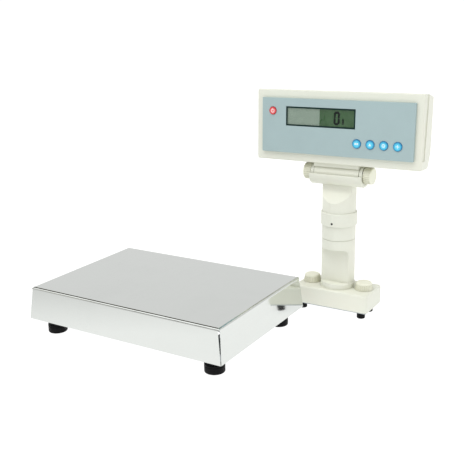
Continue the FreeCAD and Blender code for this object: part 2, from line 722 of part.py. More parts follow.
def base_screws():
    screws = []
    for x, y in four(POST_X, POST_Y):
        cx, cy = COL_X + x, COL_Y + y
        head = cyl_z(cx, cy, BASE_BOTTOM - SCREW_M3_HEAD_H, BASE_BOTTOM, SCREW_M3_HEAD_R)
        screws.append(head.fuse(cyl_z(cx, cy, BASE_BOTTOM, BASE_BOTTOM + COVER_T + 8, SCREW_M3_R)))
    return Part.makeCompound(screws)


def base_feet():
    feet = []
    for x, y in [(x, side * BASE_FOOT_Y) for x in BASE_FOOT_X for side in (-1, 1)]:
        foot = cyl_z(COL_X + x, COL_Y + y, 0, ARM_BOTTOM, BASE_FOOT_R)
        feet.append(foot.makeFillet(BASE_FOOT_EDGE, edges_at_z(foot, 0)))
    return Part.makeCompound(feet)


def base_knob(side):
    x, y, z0 = COL_X + side * KNOB_X, COL_Y, BASE_TOP + KNOB_GAP
    z1 = z0 + KNOB_H
    knob = cone_z(x, y, z0, z1, KNOB_R0, KNOB_R1)
    knob = knob.makeFillet(KNOB_EDGE, edges_at_z(knob, z1))
    # ribs follow the slope of the knob and stop short of its rounded top
    slope = (KNOB_R1 - KNOB_R0) / KNOB_H
    foot = V(KNOB_R0 + slope * KNOB_RIB_Z + KNOB_RIB_R / 3, 0, z0 + KNOB_RIB_Z)
    for i in range(KNOB_RIBS):
        groove = Part.makeCylinder(KNOB_RIB_R, KNOB_RIB_L, foot, V(slope, 0, 1))
        groove.rotate(V(0, 0, 0), V(0, 0, 1), 360.0 * i / KNOB_RIBS)
        groove.translate(V(x, y, 0))
        knob = knob.cut(groove)
    return knob.cut(cyl_z(x, y, z0, z0 + KNOB_STUD_IN, KNOB_STUD_R))


def knob_stud(side):
    x = COL_X + side * KNOB_X
    stud = cyl_z(x, COL_Y, KNOB_STUD_BOTTOM, BASE_TOP + KNOB_GAP + KNOB_STUD_IN, KNOB_STUD_R)
    return stud.makeChamfer(0.5, edges_at_z(stud, KNOB_STUD_BOTTOM))


def power_inlet():
    x, y1 = COL_X + INLET_X, COL_Y + BASE_D / 2
    back = y1 - INLET_BODY_L
    neck = cyl_y(x, back, y1, INLET_Z, INLET_R)
    half = INLET_BODY / 2
    body = box(x - half, x + half, back, y1 - BASE_WALL - FIT, INLET_Z - half, INLET_Z + half)
    jack = fuse_all([neck, body])
    jack = jack.cut(cyl_y(x, y1 - INLET_BORE_L, y1, INLET_Z, INLET_BORE_R))
    return jack.fuse(cyl_y(x, y1 - INLET_BORE_L, y1 - INLET_BORE_L + INLET_PIN_L, INLET_Z, INLET_PIN_R))


# ------------------------------------------------------------------ column
def lower_scoop(grow):
    # tool for the flat front recess: an arch with rounded upper corners, whose flat back runs
    # into its ceiling through a concave radius; grow > 0 makes the tool for the inner wall
    face = COL_Y - TUBE_R + SCOOP_LO_DEPTH + grow
    half = SCOOP_LO_HALF_W + grow
    z0, z1 = FLANGE_TOP, SCOOP_LO_Z1 + grow
    tool = box(COL_X - half, COL_X + half, COL_Y - 2 * TUBE_R, face, z0, z1)
    corners = [e for e in edges_along(tool, V(0, 1, 0)) if e.BoundBox.ZMax > z1 - 0.01]
    tool = tool.makeFillet(SCOOP_LO_CORNER + grow, corners)
    rim = [e for e in tool.Edges if e.BoundBox.YMin > face - 0.01 and e.BoundBox.ZMax > z1 - 0.01]
    return tool.makeFillet(SCOOP_LO_R + grow, rim)


def lug(radius_in, radius_out, z0, z1, centre_deg):
    # short arc of a ring, centred on the given direction
    ring = cyl_z(0, 0, z0, z1, radius_out).cut(cyl_z(0, 0, z0, z1, radius_in))
    half = STOP_LUG_DEG / 2
    tip = [V(0, 0, z0)]
    for a in (centre_deg - half, centre_deg + half):
        tip.append(V(BIG * math.cos(math.radians(a)), BIG * math.sin(math.radians(a)), z0))
    tip.append(tip[0])
    piece = ring.common(Part.Face(Part.makePolygon(tip)).extrude(V(0, 0, z1 - z0)))
    piece.translate(V(COL_X, COL_Y, 0))
    return piece


def column_lower():
    tube = cyl_z(COL_X, COL_Y, BASE_TOP, LOWER_TOP, TUBE_R)
    flange = cyl_z(COL_X, COL_Y, BASE_TOP, FLANGE_TOP, FLANGE_R)
    flange = flange.makeFillet(FLANGE_EDGE, edges_at_z(flange, FLANGE_TOP))
    tube = tube.cut(lower_scoop(0)).fuse(flange)
    bore = cyl_z(COL_X, COL_Y, BASE_TOP + BASE_WALL, LOWER_TOP, TUBE_BORE_R)
    bore = bore.cut(lower_scoop(SCOOP_WALL).fuse(box(COL_X - BIG / 4, COL_X + BIG / 4, COL_Y - BIG / 4,
                                                     COL_Y - TUBE_R + SCOOP_LO_DEPTH + SCOOP_WALL,
                                                     BASE_TOP, FLANGE_TOP + 1)))
    tube = tube.cut(bore).cut(cyl_z(COL_X, COL_Y, BASE_TOP, BASE_TOP + BASE_WALL, CABLE_HOLE_R))
    ring = cyl_z(COL_X, COL_Y, RING_Z - RING_T / 2, RING_Z + RING_T / 2, TUBE_R + 1)
    ring = ring.cut(cyl_z(COL_X, COL_Y, RING_Z - RING_T, RING_Z + RING_T, TUBE_R - RING_DEPTH))
    tube = tube.cut(ring).cut(setscrew_hole())
    z1 = SPIGOT_Z0 - STOP_LUG_CLEAR
    return tube.fuse(lug(TUBE_BORE_R - 3, TUBE_BORE_R + 0.5, z1 - STOP_LUG_H, z1, 90.0))


def setscrew_hole():
    return cyl_y(COL_X, COL_Y - COLLAR_R - 1, COL_Y - TUBE_BORE_R + 1, SETSCREW_Z, SETSCREW_R + FIT)


def column_collar():
    ring = cyl_z(COL_X, COL_Y, COLLAR_Z0, COLLAR_Z1, COLLAR_R)
    ring = ring.makeChamfer(COLLAR_EDGE, edges_at_z(ring, COLLAR_Z0) + edges_at_z(ring, COLLAR_Z1))
    ring = ring.cut(cyl_z(COL_X, COL_Y, COLLAR_Z0, LOWER_TOP, TUBE_R))
    ring = ring.cut(cyl_z(COL_X, COL_Y, LOWER_TOP, COLLAR_Z1, TUBE_R + COLLAR_GAP))
    return ring.cut(setscrew_hole())


def collar_screw():
    y0 = COL_Y - COLLAR_R + SETSCREW_SINK
    screw = cyl_y(COL_X, y0, COL_Y - SETSCREW_TIP, SETSCREW_Z, SETSCREW_R)
    return screw.cut(cyl_y(COL_X, y0, y0 + 1.6, SETSCREW_Z, SETSCREW_R * 0.55))


def upper_scoop(grow):
    # front recess under the hinge: a sloping floor that curves up into an upright back
    front, face = COL_Y - TUBE_R, COL_Y - TUBE_R + SCOOP_UP_DEPTH + grow
    slope = SCOOP_UP_RISE / SCOOP_UP_DEPTH
    z0 = SCOOP_UP_Z0 - grow * (1 + slope)
    reach = TUBE_R / 2
    bend_z = z0 + slope * (face - front)
    tool = prism_x([(front - reach, z0 - slope * reach), (face, bend_z), (face, UPPER_TOP + grow + 1),
                    (front - reach, UPPER_TOP + grow + 1)], COL_X - TUBE_R - grow, COL_X + TUBE_R + grow)
    bend = [e for e in edges_along(tool, V(1, 0, 0))
            if abs(e.BoundBox.ZMin - bend_z) < 0.01 and e.BoundBox.YMin > face - 0.01]
    return tool.makeFillet(SCOOP_UP_R, bend)


def column_upper():
    z0 = LOWER_TOP + SWIVEL_GAP
    tube = cyl_z(COL_X, COL_Y, z0, UPPER_TOP, TUBE_R)
    tube = tube.fuse(cyl_z(COL_X, COL_Y, SPIGOT_Z0, z0, SPIGOT_R))
    tube = tube.cut(upper_scoop(0))
    bore = cyl_z(COL_X, COL_Y, SPIGOT_Z0, UPPER_TOP, SPIGOT_BORE_R).cut(upper_scoop(SCOOP_WALL))
    tube = tube.cut(bore)
    wedge = prism_x([(COL_Y + CRADLE_R - 4, UPPER_TOP + 1), (COL_Y + TUBE_R + 1, BACK_CUT_Z),
                     (COL_Y + TUBE_R + 1, UPPER_TOP + 1)], COL_X - BIG / 4, COL_X + BIG / 4)
    tube = tube.cut(wedge)
    tube = tube.cut(cyl_x(COL_X - BIG / 4, COL_X + BIG / 4, HINGE_Y, HINGE_Z, CRADLE_R))
    z1 = SPIGOT_Z0
    return tube.fuse(lug(TUBE_BORE_R - 3, SPIGOT_R, z1 - STOP_LUG_H - STOP_LUG_CLEAR, z1, -90.0))


def hinge_cradle():
    x0, x1 = COL_X - CRADLE_HALF_L, COL_X + CRADLE_HALF_L
    trough = cyl_x(x0, x1, HINGE_Y, HINGE_Z, CRADLE_R)
    below = box(x0, x1, HINGE_Y - CRADLE_R, HINGE_Y + CRADLE_R, HINGE_Z - CRADLE_R, HINGE_Z)
    trough = trough.common(below)
    corner = box(x0, x1, HINGE_Y - BIG / 4, HINGE_Y + BIG / 4, HINGE_Z - CRADLE_R, HINGE_Z + CRADLE_R)
    low = [e for e in edges_along(corner, V(0, 1, 0)) if e.BoundBox.ZMax < HINGE_Z]
    trough = trough.common(corner.makeFillet(CRADLE_CORNER_R, low))
    trough = trough.cut(cyl_x(x0, x1, HINGE_Y, HINGE_Z, CRADLE_BORE_R))
    for side in (-1, 1):
        a, b = sorted((COL_X + side * EAR_X0, COL_X + side * EAR_X1))
        ear = cyl_x(a, b, HINGE_Y, HINGE_Z, EAR_R)
        web = box(a, b, HINGE_Y - EAR_R, HINGE_Y + EAR_R, HINGE_Z - CRADLE_BORE_R, HINGE_Z)
        web = web.common(cyl_x(a, b, HINGE_Y, HINGE_Z, CRADLE_BORE_R + 0.5))
        trough = trough.fuse(ear.fuse(web))
    trough = trough.removeSplitter()
    return trough.cut(cyl_x(x0, x1, HINGE_Y, HINGE_Z, SHAFT_R))


def tilt_shaft():
    return cyl_x(COL_X - SHAFT_HALF_L, COL_X + SHAFT_HALF_L, HINGE_Y, HINGE_Z, SHAFT_R)


def tilt_washers():
    rings = []
    for side in (-1, 1):
        start = COL_X + side * EAR_X1
        a, b = sorted((start, start + side * WASHER_T))
        ring = cyl_x(a, b, HINGE_Y, HINGE_Z, WASHER_R)
        rings.append(ring.cut(cyl_x(a, b, HINGE_Y, HINGE_Z, SHAFT_R)))
    return Part.makeCompound(rings)


def tilt_knob(side):
    a, b = sorted((COL_X + side * TILT_KNOB_X0, COL_X + side * TILT_KNOB_X1))
    knob = cyl_x(a, b, HINGE_Y, HINGE_Z, TILT_KNOB_R)
    outer_x = COL_X + side * TILT_KNOB_X1
    rim = [e for e in knob.Edges if abs(e.BoundBox.XMin - outer_x) < 1e-5
           and abs(e.BoundBox.XMax - outer_x) < 1e-5]
    knob = knob.makeFillet(TILT_KNOB_EDGE, rim)
    # ribs run in from the hinge side and leave a plain rim at the outer end
    shift = TILT_KNOB_RIM * side
    reach = TILT_KNOB_R + TILT_KNOB_RIB_OUT
    for i in range(TILT_KNOB_RIBS):
        angle = 2 * math.pi * i / TILT_KNOB_RIBS
        y, z = HINGE_Y + reach * math.cos(angle), HINGE_Z + reach * math.sin(angle)
        knob = knob.cut(cyl_x(a - shift, b - shift, y, z, TILT_KNOB_RIB_R))
    bore = SHAFT_HALF_L + SHAFT_FIT
    return knob.cut(cyl_x(COL_X - bore, COL_X + bore, HINGE_Y, HINGE_Z, SHAFT_R + SHAFT_FIT))


# ------------------------------------------------------------------ display head
HY = HINGE_Y
HZ = HINGE_Z
HEAD_X0 = HEAD_CX - HEAD_W / 2
HEAD_X1 = HEAD_CX + HEAD_W / 2
HEAD_BOT = HZ + HEAD_Z0
HEAD_TOP = HEAD_BOT + HEAD_H
HEAD_MID = (HEAD_BOT + HEAD_TOP) / 2
FACE_Z = HZ + PANEL_Z
PANEL_BACK = PANEL_FACE + PANEL_T


def head_knuckle():
    a, b = COL_X - BARREL_HALF_L, COL_X + BARREL_HALF_L
    barrel = cyl_x(a, b, HY, HZ, BARREL_R)
    neck = box(a, b, HY - NECK_BACK, HY + NECK_BACK, HZ, HEAD_BOT)
    shoulder = box(a, b, HY - NECK_FRONT, HY + NECK_BACK, HZ + NECK_Z0, HEAD_BOT)
    body = fuse_all([barrel, neck, shoulder])
    body = body.cut(cyl_x(a, b, HY, HZ, SHAFT_R + SHAFT_FIT))
    for x, y in four(KNUCKLE_SCREW_X, KNUCKLE_SCREW_Y):
        body = body.cut(cyl_z(COL_X + x, HY + y, HEAD_BOT - KNUCKLE_SCREW_L, HEAD_BOT, SCREW_M3_R + FIT))
    return body


def knuckle_screws():
    screws = []
    top = HEAD_BOT + HEAD_WALL
    for x, y in four(KNUCKLE_SCREW_X, KNUCKLE_SCREW_Y):
        cx, cy = COL_X + x, HY + y
        head = cyl_z(cx, cy, top, top + SCREW_M3_HEAD_H, SCREW_M3_HEAD_R)
        screws.append(head.fuse(cyl_z(cx, cy, HEAD_BOT - KNUCKLE_SCREW_L + 1, top, SCREW_M3_R)))
    return Part.makeCompound(screws)


def head_outline(inset, y0, y1):
    return plate_y(HEAD_W - 2 * inset, HEAD_H - 2 * inset, HY + y0, HY + y1, HEAD_CX, HEAD_MID,
                   HEAD_CORNER_R)


def key_places():
    places = [("key_power", POWER_X, POWER_Z, POWER_R)]
    for i, x in enumerate(KEY_X):
        places.append(("key_%d" % (i + 1), x, KEY_Z, KEY_R))
    return [(n, HEAD_CX + x, FACE_Z + z, r) for n, x, z, r in places]


def window_box(margin, y0, y1):
    x, z = HEAD_CX + WINDOW_X, FACE_Z + WINDOW_Z
    w, h = WINDOW_W / 2 + margin, WINDOW_H / 2 + margin
    return box(x - w, x + w, HY + y0, HY + y1, z - h, z + h)


def split_y(z):
    # the joint between bezel and rear tray leans: it is further back at the top of the head
    part = (z - HEAD_BOT) / HEAD_H
    return HY + HEAD_SPLIT + part * (HEAD_SPLIT_TOP - HEAD_SPLIT)


def behind_split():
    z0, z1 = HEAD_BOT - HEAD_WALL, HEAD_TOP + HEAD_WALL
    far = HY + 2 * HEAD_BACK
    return prism_x([(split_y(z0), z0), (far, z0), (far, z1), (split_y(z1), z1)],
                   HEAD_X0 - HEAD_WALL, HEAD_X1 + HEAD_WALL)


def head_screw_places():
    return [(HEAD_CX + side * HEAD_SCREW_X, HEAD_MID + z) for side in (-1, 1) for z in HEAD_SCREW_Z]


def head_bezel():
    # flat front frame with a rounded edge, and recessed side walls that run back to the joint
    flange = head_outline(0, HEAD_FRONT, HEAD_FRONT + FLANGE_T)
    rim = [e for e in flange.Edges if e.BoundBox.YMax < HY + HEAD_FRONT + 0.01]
    flange = flange.makeFillet(HEAD_EDGE_R, rim)
    back = HEAD_SPLIT_TOP + HEAD_WALL
    wall = head_outline(GROOVE_IN, HEAD_FRONT + HEAD_EDGE_R, back)
    foot = head_outline(0, HEAD_FRONT + HEAD_EDGE_R, back)
    foot = foot.common(box(HEAD_X0, HEAD_X1, HY + HEAD_FRONT, HY + back, HEAD_BOT, HEAD_BOT + GROOVE_STOP))
    body = fuse_all([flange, wall, foot]).cut(behind_split())
    inset = GROOVE_IN + HEAD_WALL
    behind = HEAD_FRONT + BEZEL_SKIN
    body = body.cut(box(HEAD_X0 + inset, HEAD_X1 - inset, HY + behind, HY + HEAD_BACK,
                        HEAD_BOT + inset, HEAD_TOP - inset))
    body = body.cut(window_box(-LCD_INSET, PANEL_FACE - 1, behind + 1))
    for name, x, z, r in key_places():
        body = body.cut(cyl_y(x, HY + PANEL_FACE - 1, HY + behind + 1, z, r + KEY_CLEAR))
    for x, z in head_screw_places():
        body = body.fuse(cyl_y(x, HY + HEAD_FRONT + HEAD_EDGE_R / 2, HY + HEAD_SPLIT, z, HEAD_POST_R))
        body = body.cut(cyl_y(x, HY + HEAD_SPLIT - HEAD_SCREW_L + 3, HY + HEAD_SPLIT, z, SCREW_M3_R + FIT))
    return body


LENS_FRONT = PANEL_FACE + WINDOW_SINK
LENS_BACK = LENS_FRONT + LENS_T


def front_panel():
    # thick raised panel; the window has a ledge that carries the lens
    panel = plate_y(PANEL_W, PANEL_H, HY + PANEL_FACE, HY + PANEL_BACK, HEAD_CX, FACE_Z, PANEL_CORNER_R)
    rim = [e for e in panel.Edges if e.BoundBox.YMax < HY + PANEL_FACE + 0.01]
    panel = panel.makeFillet(PANEL_EDGE_R, rim)
    panel = panel.cut(window_box(0, PANEL_FACE - 1, LENS_BACK))
    panel = panel.cut(window_box(-LCD_INSET, LENS_BACK, PANEL_BACK + 1))
    for name, x, z, r in key_places():
        panel = panel.cut(cyl_y(x, HY + PANEL_FACE - 1, HY + PANEL_BACK + 1, z, r + KEY_CLEAR))
    return panel


def lcd_lens():
    return window_box(-LENS_FIT, LENS_FRONT, LENS_BACK)


LCD_FRONT = PANEL_BACK + BEZEL_SKIN + LCD_GAP


def lcd_module():
    return window_box(LCD_FRAME_T - LCD_GAP, LCD_FRONT + 1.0, LCD_FRONT + 1.0 + LCD_T)


def lcd_frame():
    # pressed frame that holds the display glass against the inside of the bezel
    frame = window_box(2 * LCD_FRAME_T, LCD_FRONT, LCD_FRONT + LCD_FRAME_D)
    frame = frame.cut(window_box(LCD_FRAME_T - LCD_GAP, LCD_FRONT + 1.0, LCD_FRONT + LCD_FRAME_D))
    return frame.cut(window_box(-LCD_INSET, LCD_FRONT, LCD_FRONT + 1.0))


def standoff_places():
    return [(HEAD_CX + x, HEAD_MID + z) for x, z in four(STANDOFF_X, STANDOFF_Z)]


def main_board():
    board = box(HEAD_CX - BOARD_W / 2, HEAD_CX + BOARD_W / 2, HY + BOARD_Y, HY + BOARD_Y + BOARD_T,
                HEAD_MID - BOARD_H / 2, HEAD_MID + BOARD_H / 2)
    for x, z in standoff_places():
        board = board.cut(cyl_y(x, HY + BOARD_Y, HY + BOARD_Y + BOARD_T, z, SCREW_M3_R + FIT))
    return board


def tact_switches():
    switches = []
    half = SWITCH_W / 2
    for name, x, z, r in key_places():
        body = box(x - half, x + half, HY + BOARD_Y - SWITCH_H, HY + BOARD_Y, z - half, z + half)
        button = cyl_y(x, HY + BOARD_Y - SWITCH_H - SWITCH_BUTTON_H, HY + BOARD_Y - SWITCH_H, z,
                       SWITCH_BUTTON_R)
        switches.append(body.fuse(button))
    return Part.makeCompound(switches)


def key_cap(x, z, r):
    y0 = HY + PANEL_FACE - KEY_PROUD
    behind = HY + PANEL_BACK + BEZEL_SKIN
    cap = cyl_y(x, y0, behind, z, r)
    rim = [e for e in cap.Edges if abs(e.BoundBox.YMax - y0) < 1e-5]
    cap = cap.makeFillet(KEY_EDGE, rim)
    lip = cyl_y(x, behind + SEAT_GAP, behind + SEAT_GAP + KEY_LIP_T, z, r + KEY_LIP)
    neck = cyl_y(x, behind, behind + SEAT_GAP + KEY_LIP_T, z, r - 1)
    tip = HY + BOARD_Y - SWITCH_H - SWITCH_BUTTON_H - KEY_TRAVEL - 0.1
    stem = cyl_y(x, behind, tip, z, KEY_STEM_R)
    return fuse_all([cap, neck, lip, stem])


def board_screws():
    screws = []
    y0 = HY + BOARD_Y
    for x, z in standoff_places():
        head = cyl_y(x, y0 - SCREW_M3_HEAD_H, y0, z, SCREW_M3_HEAD_R)
        screws.append(head.fuse(cyl_y(x, y0, y0 + BOARD_T + 6, z, SCREW_M3_R)))
    return Part.makeCompound(screws)


def door_box(margin, y0, y1):
    x, z = HEAD_CX + BATTERY_X, HEAD_MID
    w, h = BATTERY_W / 2 + margin, BATTERY_H / 2 + margin
    return box(x - w, x + w, HY + y0, HY + y1, z - h, z + h)


def tray_profile(inset):
    # side view: leaning joint, top that falls away to the back, slanted lower back
    back, low, top = HY + HEAD_BACK - inset, HEAD_BOT + inset, HEAD_TOP - REAR_STEP - inset
    slant = inset * (HEAD_BACK - REAR_SLANT_Y) / REAR_SLANT_Z
    return [(split_y(low), low), (HY + REAR_SLANT_Y - slant, low), (back, HEAD_BOT + REAR_SLANT_Z + inset),
            (back, HEAD_TOP - HEAD_TOP_DROP - inset), (split_y(top), top)]


def head_rear():
    solid = prism_x(tray_profile(0), HEAD_X0, HEAD_X1)
    slanted = [e for e in edges_along(solid, V(1, 0, 0))
               if e.BoundBox.YMax > HY + REAR_SLANT_Y - 0.01 and e.BoundBox.ZMax < HEAD_MID]
    solid = solid.makeFillet(REAR_SLANT_R, slanted)
    back = [e for e in solid.Edges if e.BoundBox.YMin > HY + HEAD_BACK - 0.01 and e.BoundBox.ZMax > HEAD_MID]
    solid = solid.makeFillet(REAR_EDGE_R, back)
    w = HEAD_WALL
    shell = solid.cut(prism_x(tray_profile(w), HEAD_X0 + w, HEAD_X1 - w))
    bay = door_box(BAY_WALL, BAY_FLOOR, HEAD_BACK - w / 2)
    shell = shell.fuse(bay).removeSplitter()
    shell = shell.cut(door_box(0, BAY_FLOOR + BAY_WALL, HEAD_BACK + 1))
    shell = shell.cut(door_box(DOOR_MARGIN, HEAD_BACK - DOOR_T, HEAD_BACK + 1))
    for x, z in standoff_places():
        post = cyl_y(x, HY + BOARD_Y + BOARD_T, HY + HEAD_BACK - w / 2, z, STANDOFF_R)
        shell = shell.fuse(post)
        shell = shell.cut(cyl_y(x, HY + BOARD_Y + BOARD_T, HY + BOARD_Y + BOARD_T + 7, z, SCREW_M3_R + FIT))
    for x, z in head_screw_places():
        shell = shell.fuse(cyl_y(x, HY + HEAD_SPLIT, HY + HEAD_BACK - w / 2, z, HEAD_POST_R))
        shell = shell.cut(cyl_y(x, HY + HEAD_SPLIT, HY + HEAD_BACK + 1, z, SCREW_M3_R + FIT))
        shell = shell.cut(cyl_y(x, HY + HEAD_BACK - SCREW_M3_HEAD_H, HY + HEAD_BACK + 1, z,
                                SCREW_M3_HEAD_R + FIT))
    for i in range(VENT_COUNT):
        z = HEAD_MID + (i - (VENT_COUNT - 1) / 2) * VENT_PITCH
        x = HEAD_CX + VENT_X
        shell = shell.cut(box(x - VENT_W / 2, x + VENT_W / 2, HY + HEAD_BACK - w - 1, HY + HEAD_BACK + 1,
                              z - VENT_H / 2, z + VENT_H / 2))
    for x, y in four(KNUCKLE_SCREW_X, KNUCKLE_SCREW_Y):
        shell = shell.cut(cyl_z(COL_X + x, HY + y, HEAD_BOT, HEAD_BOT + w, SCREW_M3_R + FIT))
    return shell


def head_screws():
    screws = []
    for x, z in head_screw_places():
        y1 = HY + HEAD_BACK - 0.2
        head = cyl_y(x, y1 - SCREW_M3_HEAD_H + 0.2, y1, z, SCREW_M3_HEAD_R)
        head = head.cut(cyl_y(x, y1 - 1, y1, z, 0.9))
        shank = cyl_y(x, HY + HEAD_SPLIT - HEAD_SCREW_L + 4, y1 - SCREW_M3_HEAD_H + 0.2, z, SCREW_M3_R)
        screws.append(head.fuse(shank))
    return Part.makeCompound(screws)


def battery_pack():
    return door_box(-0.6, BAY_FLOOR + BAY_WALL + 0.1, BAY_FLOOR + BAY_WALL + 0.1 + BATTERY_T)


def battery_door():
    door = door_box(DOOR_MARGIN - DOOR_GAP, HEAD_BACK - DOOR_T + SEAT_GAP, HEAD_BACK)
    x, z0 = HEAD_CX + BATTERY_X, HEAD_MID + BATTERY_H / 2 - 4
    for i in range(4):
        groove = cyl_x(x - 12, x + 12, HY + HEAD_BACK + 0.5, z0 - 2.6 * i, 1.0)
        door = door.cut(groove)
    return door


# ------------------------------------------------------------------ write the parts
def build():
    export("platter_pan", platter_pan())
    export("platter_pads", platter_pads())
    export("platter_spider", platter_spider())
    export("load_cell", load_cell())
    export("cell_spacers", cell_spacers())
    export("cell_bolts", cell_bolts())
    export("overload_stops", overload_stops())
    export("base_frame", base_frame())
    export("foot_nuts", foot_nuts())
    for name, sx, sy in (("fl", -1, -1), ("fr", 1, -1), ("rl", -1, 1), ("rr", 1, 1)):
        export("foot_pad_" + name, foot_pad(sx * FOOT_X, sy * FOOT_Y))
        export("foot_stud_" + name, foot_stud(sx * FOOT_X, sy * FOOT_Y))
    export("bubble_level", bubble_level())
    export("support_arm", support_arm())
    export("arm_spacers", arm_spacers())
    export("arm_screws", arm_screws())
    export("signal_lead", signal_lead())
    export("base_housing", base_housing())
    export("base_cover", base_cover())
    export("base_screws", base_screws())
    export("base_feet", base_feet())
    export("power_inlet", power_inlet())
    for name, side in (("left", -1), ("right", 1)):
        export("base_knob_" + name, base_knob(side))
        export("knob_stud_" + name, knob_stud(side))
        export("tilt_knob_" + name, tilt_knob(side))
    export("column_lower", column_lower())
    export("column_collar", column_collar())
    export("collar_screw", collar_screw())
    export("column_upper", column_upper())
    export("hinge_cradle", hinge_cradle())
    export("tilt_shaft", tilt_shaft())
    export("tilt_washers", tilt_washers())
    export("head_knuckle", head_knuckle(), True)
    export("knuckle_screws", knuckle_screws(), True)
    export("head_bezel", head_bezel(), True)
    export("front_panel", front_panel(), True)
    export("lcd_lens", lcd_lens(), True)
    export("lcd_frame", lcd_frame(), True)
    export("lcd_module", lcd_module(), True)
    export("main_board", main_board(), True)
    export("tact_switches", tact_switches(), True)
    export("board_screws", board_screws(), True)
    for name, x, z, r in key_places():
        export(name, key_cap(x, z, r), True)
    export("head_rear", head_rear(), True)
    export("head_screws", head_screws(), True)
    export("battery_pack", battery_pack(), True)
    export("battery_door", battery_door(), True)


build()
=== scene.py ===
import json
import math

import bmesh
import bpy
from mathutils import Matrix, Vector


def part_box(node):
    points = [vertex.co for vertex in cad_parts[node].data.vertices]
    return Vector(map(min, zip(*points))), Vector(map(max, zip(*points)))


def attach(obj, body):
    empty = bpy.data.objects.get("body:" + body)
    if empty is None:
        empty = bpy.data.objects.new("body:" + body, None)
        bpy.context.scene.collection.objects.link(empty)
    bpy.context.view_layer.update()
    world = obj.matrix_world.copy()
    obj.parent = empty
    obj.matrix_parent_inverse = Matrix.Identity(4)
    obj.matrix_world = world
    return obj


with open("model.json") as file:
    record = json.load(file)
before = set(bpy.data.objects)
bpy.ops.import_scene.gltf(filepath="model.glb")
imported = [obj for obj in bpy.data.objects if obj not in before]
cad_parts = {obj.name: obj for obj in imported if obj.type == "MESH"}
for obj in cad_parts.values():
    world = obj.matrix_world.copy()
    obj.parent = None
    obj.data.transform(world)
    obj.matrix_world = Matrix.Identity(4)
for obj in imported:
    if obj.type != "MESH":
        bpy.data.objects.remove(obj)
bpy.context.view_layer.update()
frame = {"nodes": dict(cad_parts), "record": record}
NODES = frame["nodes"]
MM = 0.001

# ------------------------------------------------------------------ camera
CAMERA_AT = Vector((0.60109, -0.96546, 0.48166))
CAMERA_AZ = math.radians(31.62)
CAMERA_EL = math.radians(15.88)
CAMERA_ROLL = math.radians(-1.21)
LENS_MM = 58.10
SENSOR_MM = 36.0


def add_camera():
    back = Vector((math.sin(CAMERA_AZ) * math.cos(CAMERA_EL),
                   -math.cos(CAMERA_AZ) * math.cos(CAMERA_EL), math.sin(CAMERA_EL)))
    right = Vector((math.cos(CAMERA_AZ), math.sin(CAMERA_AZ), 0))
    up = back.cross(right)
    c, s = math.cos(CAMERA_ROLL), math.sin(CAMERA_ROLL)
    right, up = right * c + up * s, up * c - right * s
    data = bpy.data.cameras.new("camera")
    data.lens = LENS_MM
    data.sensor_width = SENSOR_MM
    data.clip_start = 0.02
    data.clip_end = 200.0
    camera = bpy.data.objects.new("camera", data)
    camera.matrix_world = Matrix((
        (right.x, up.x, back.x, CAMERA_AT.x),
        (right.y, up.y, back.y, CAMERA_AT.y),
        (right.z, up.z, back.z, CAMERA_AT.z),
        (0, 0, 0, 1)))
    bpy.context.scene.collection.objects.link(camera)
    bpy.context.scene.camera = camera


# ------------------------------------------------------------------ colour helpers
def linear(r, g, b):
    """A colour given as 0 to 255 display values, in Blender's linear values."""
    def one(v):
        v /= 255.0
        return v / 12.92 if v <= 0.04045 else ((v + 0.055) / 1.055) ** 2.4
    return (one(r), one(g), one(b), 1.0)


def shade(colour, k):
    return (min(1.0, colour[0] * k), min(1.0, colour[1] * k), min(1.0, colour[2] * k), 1.0)


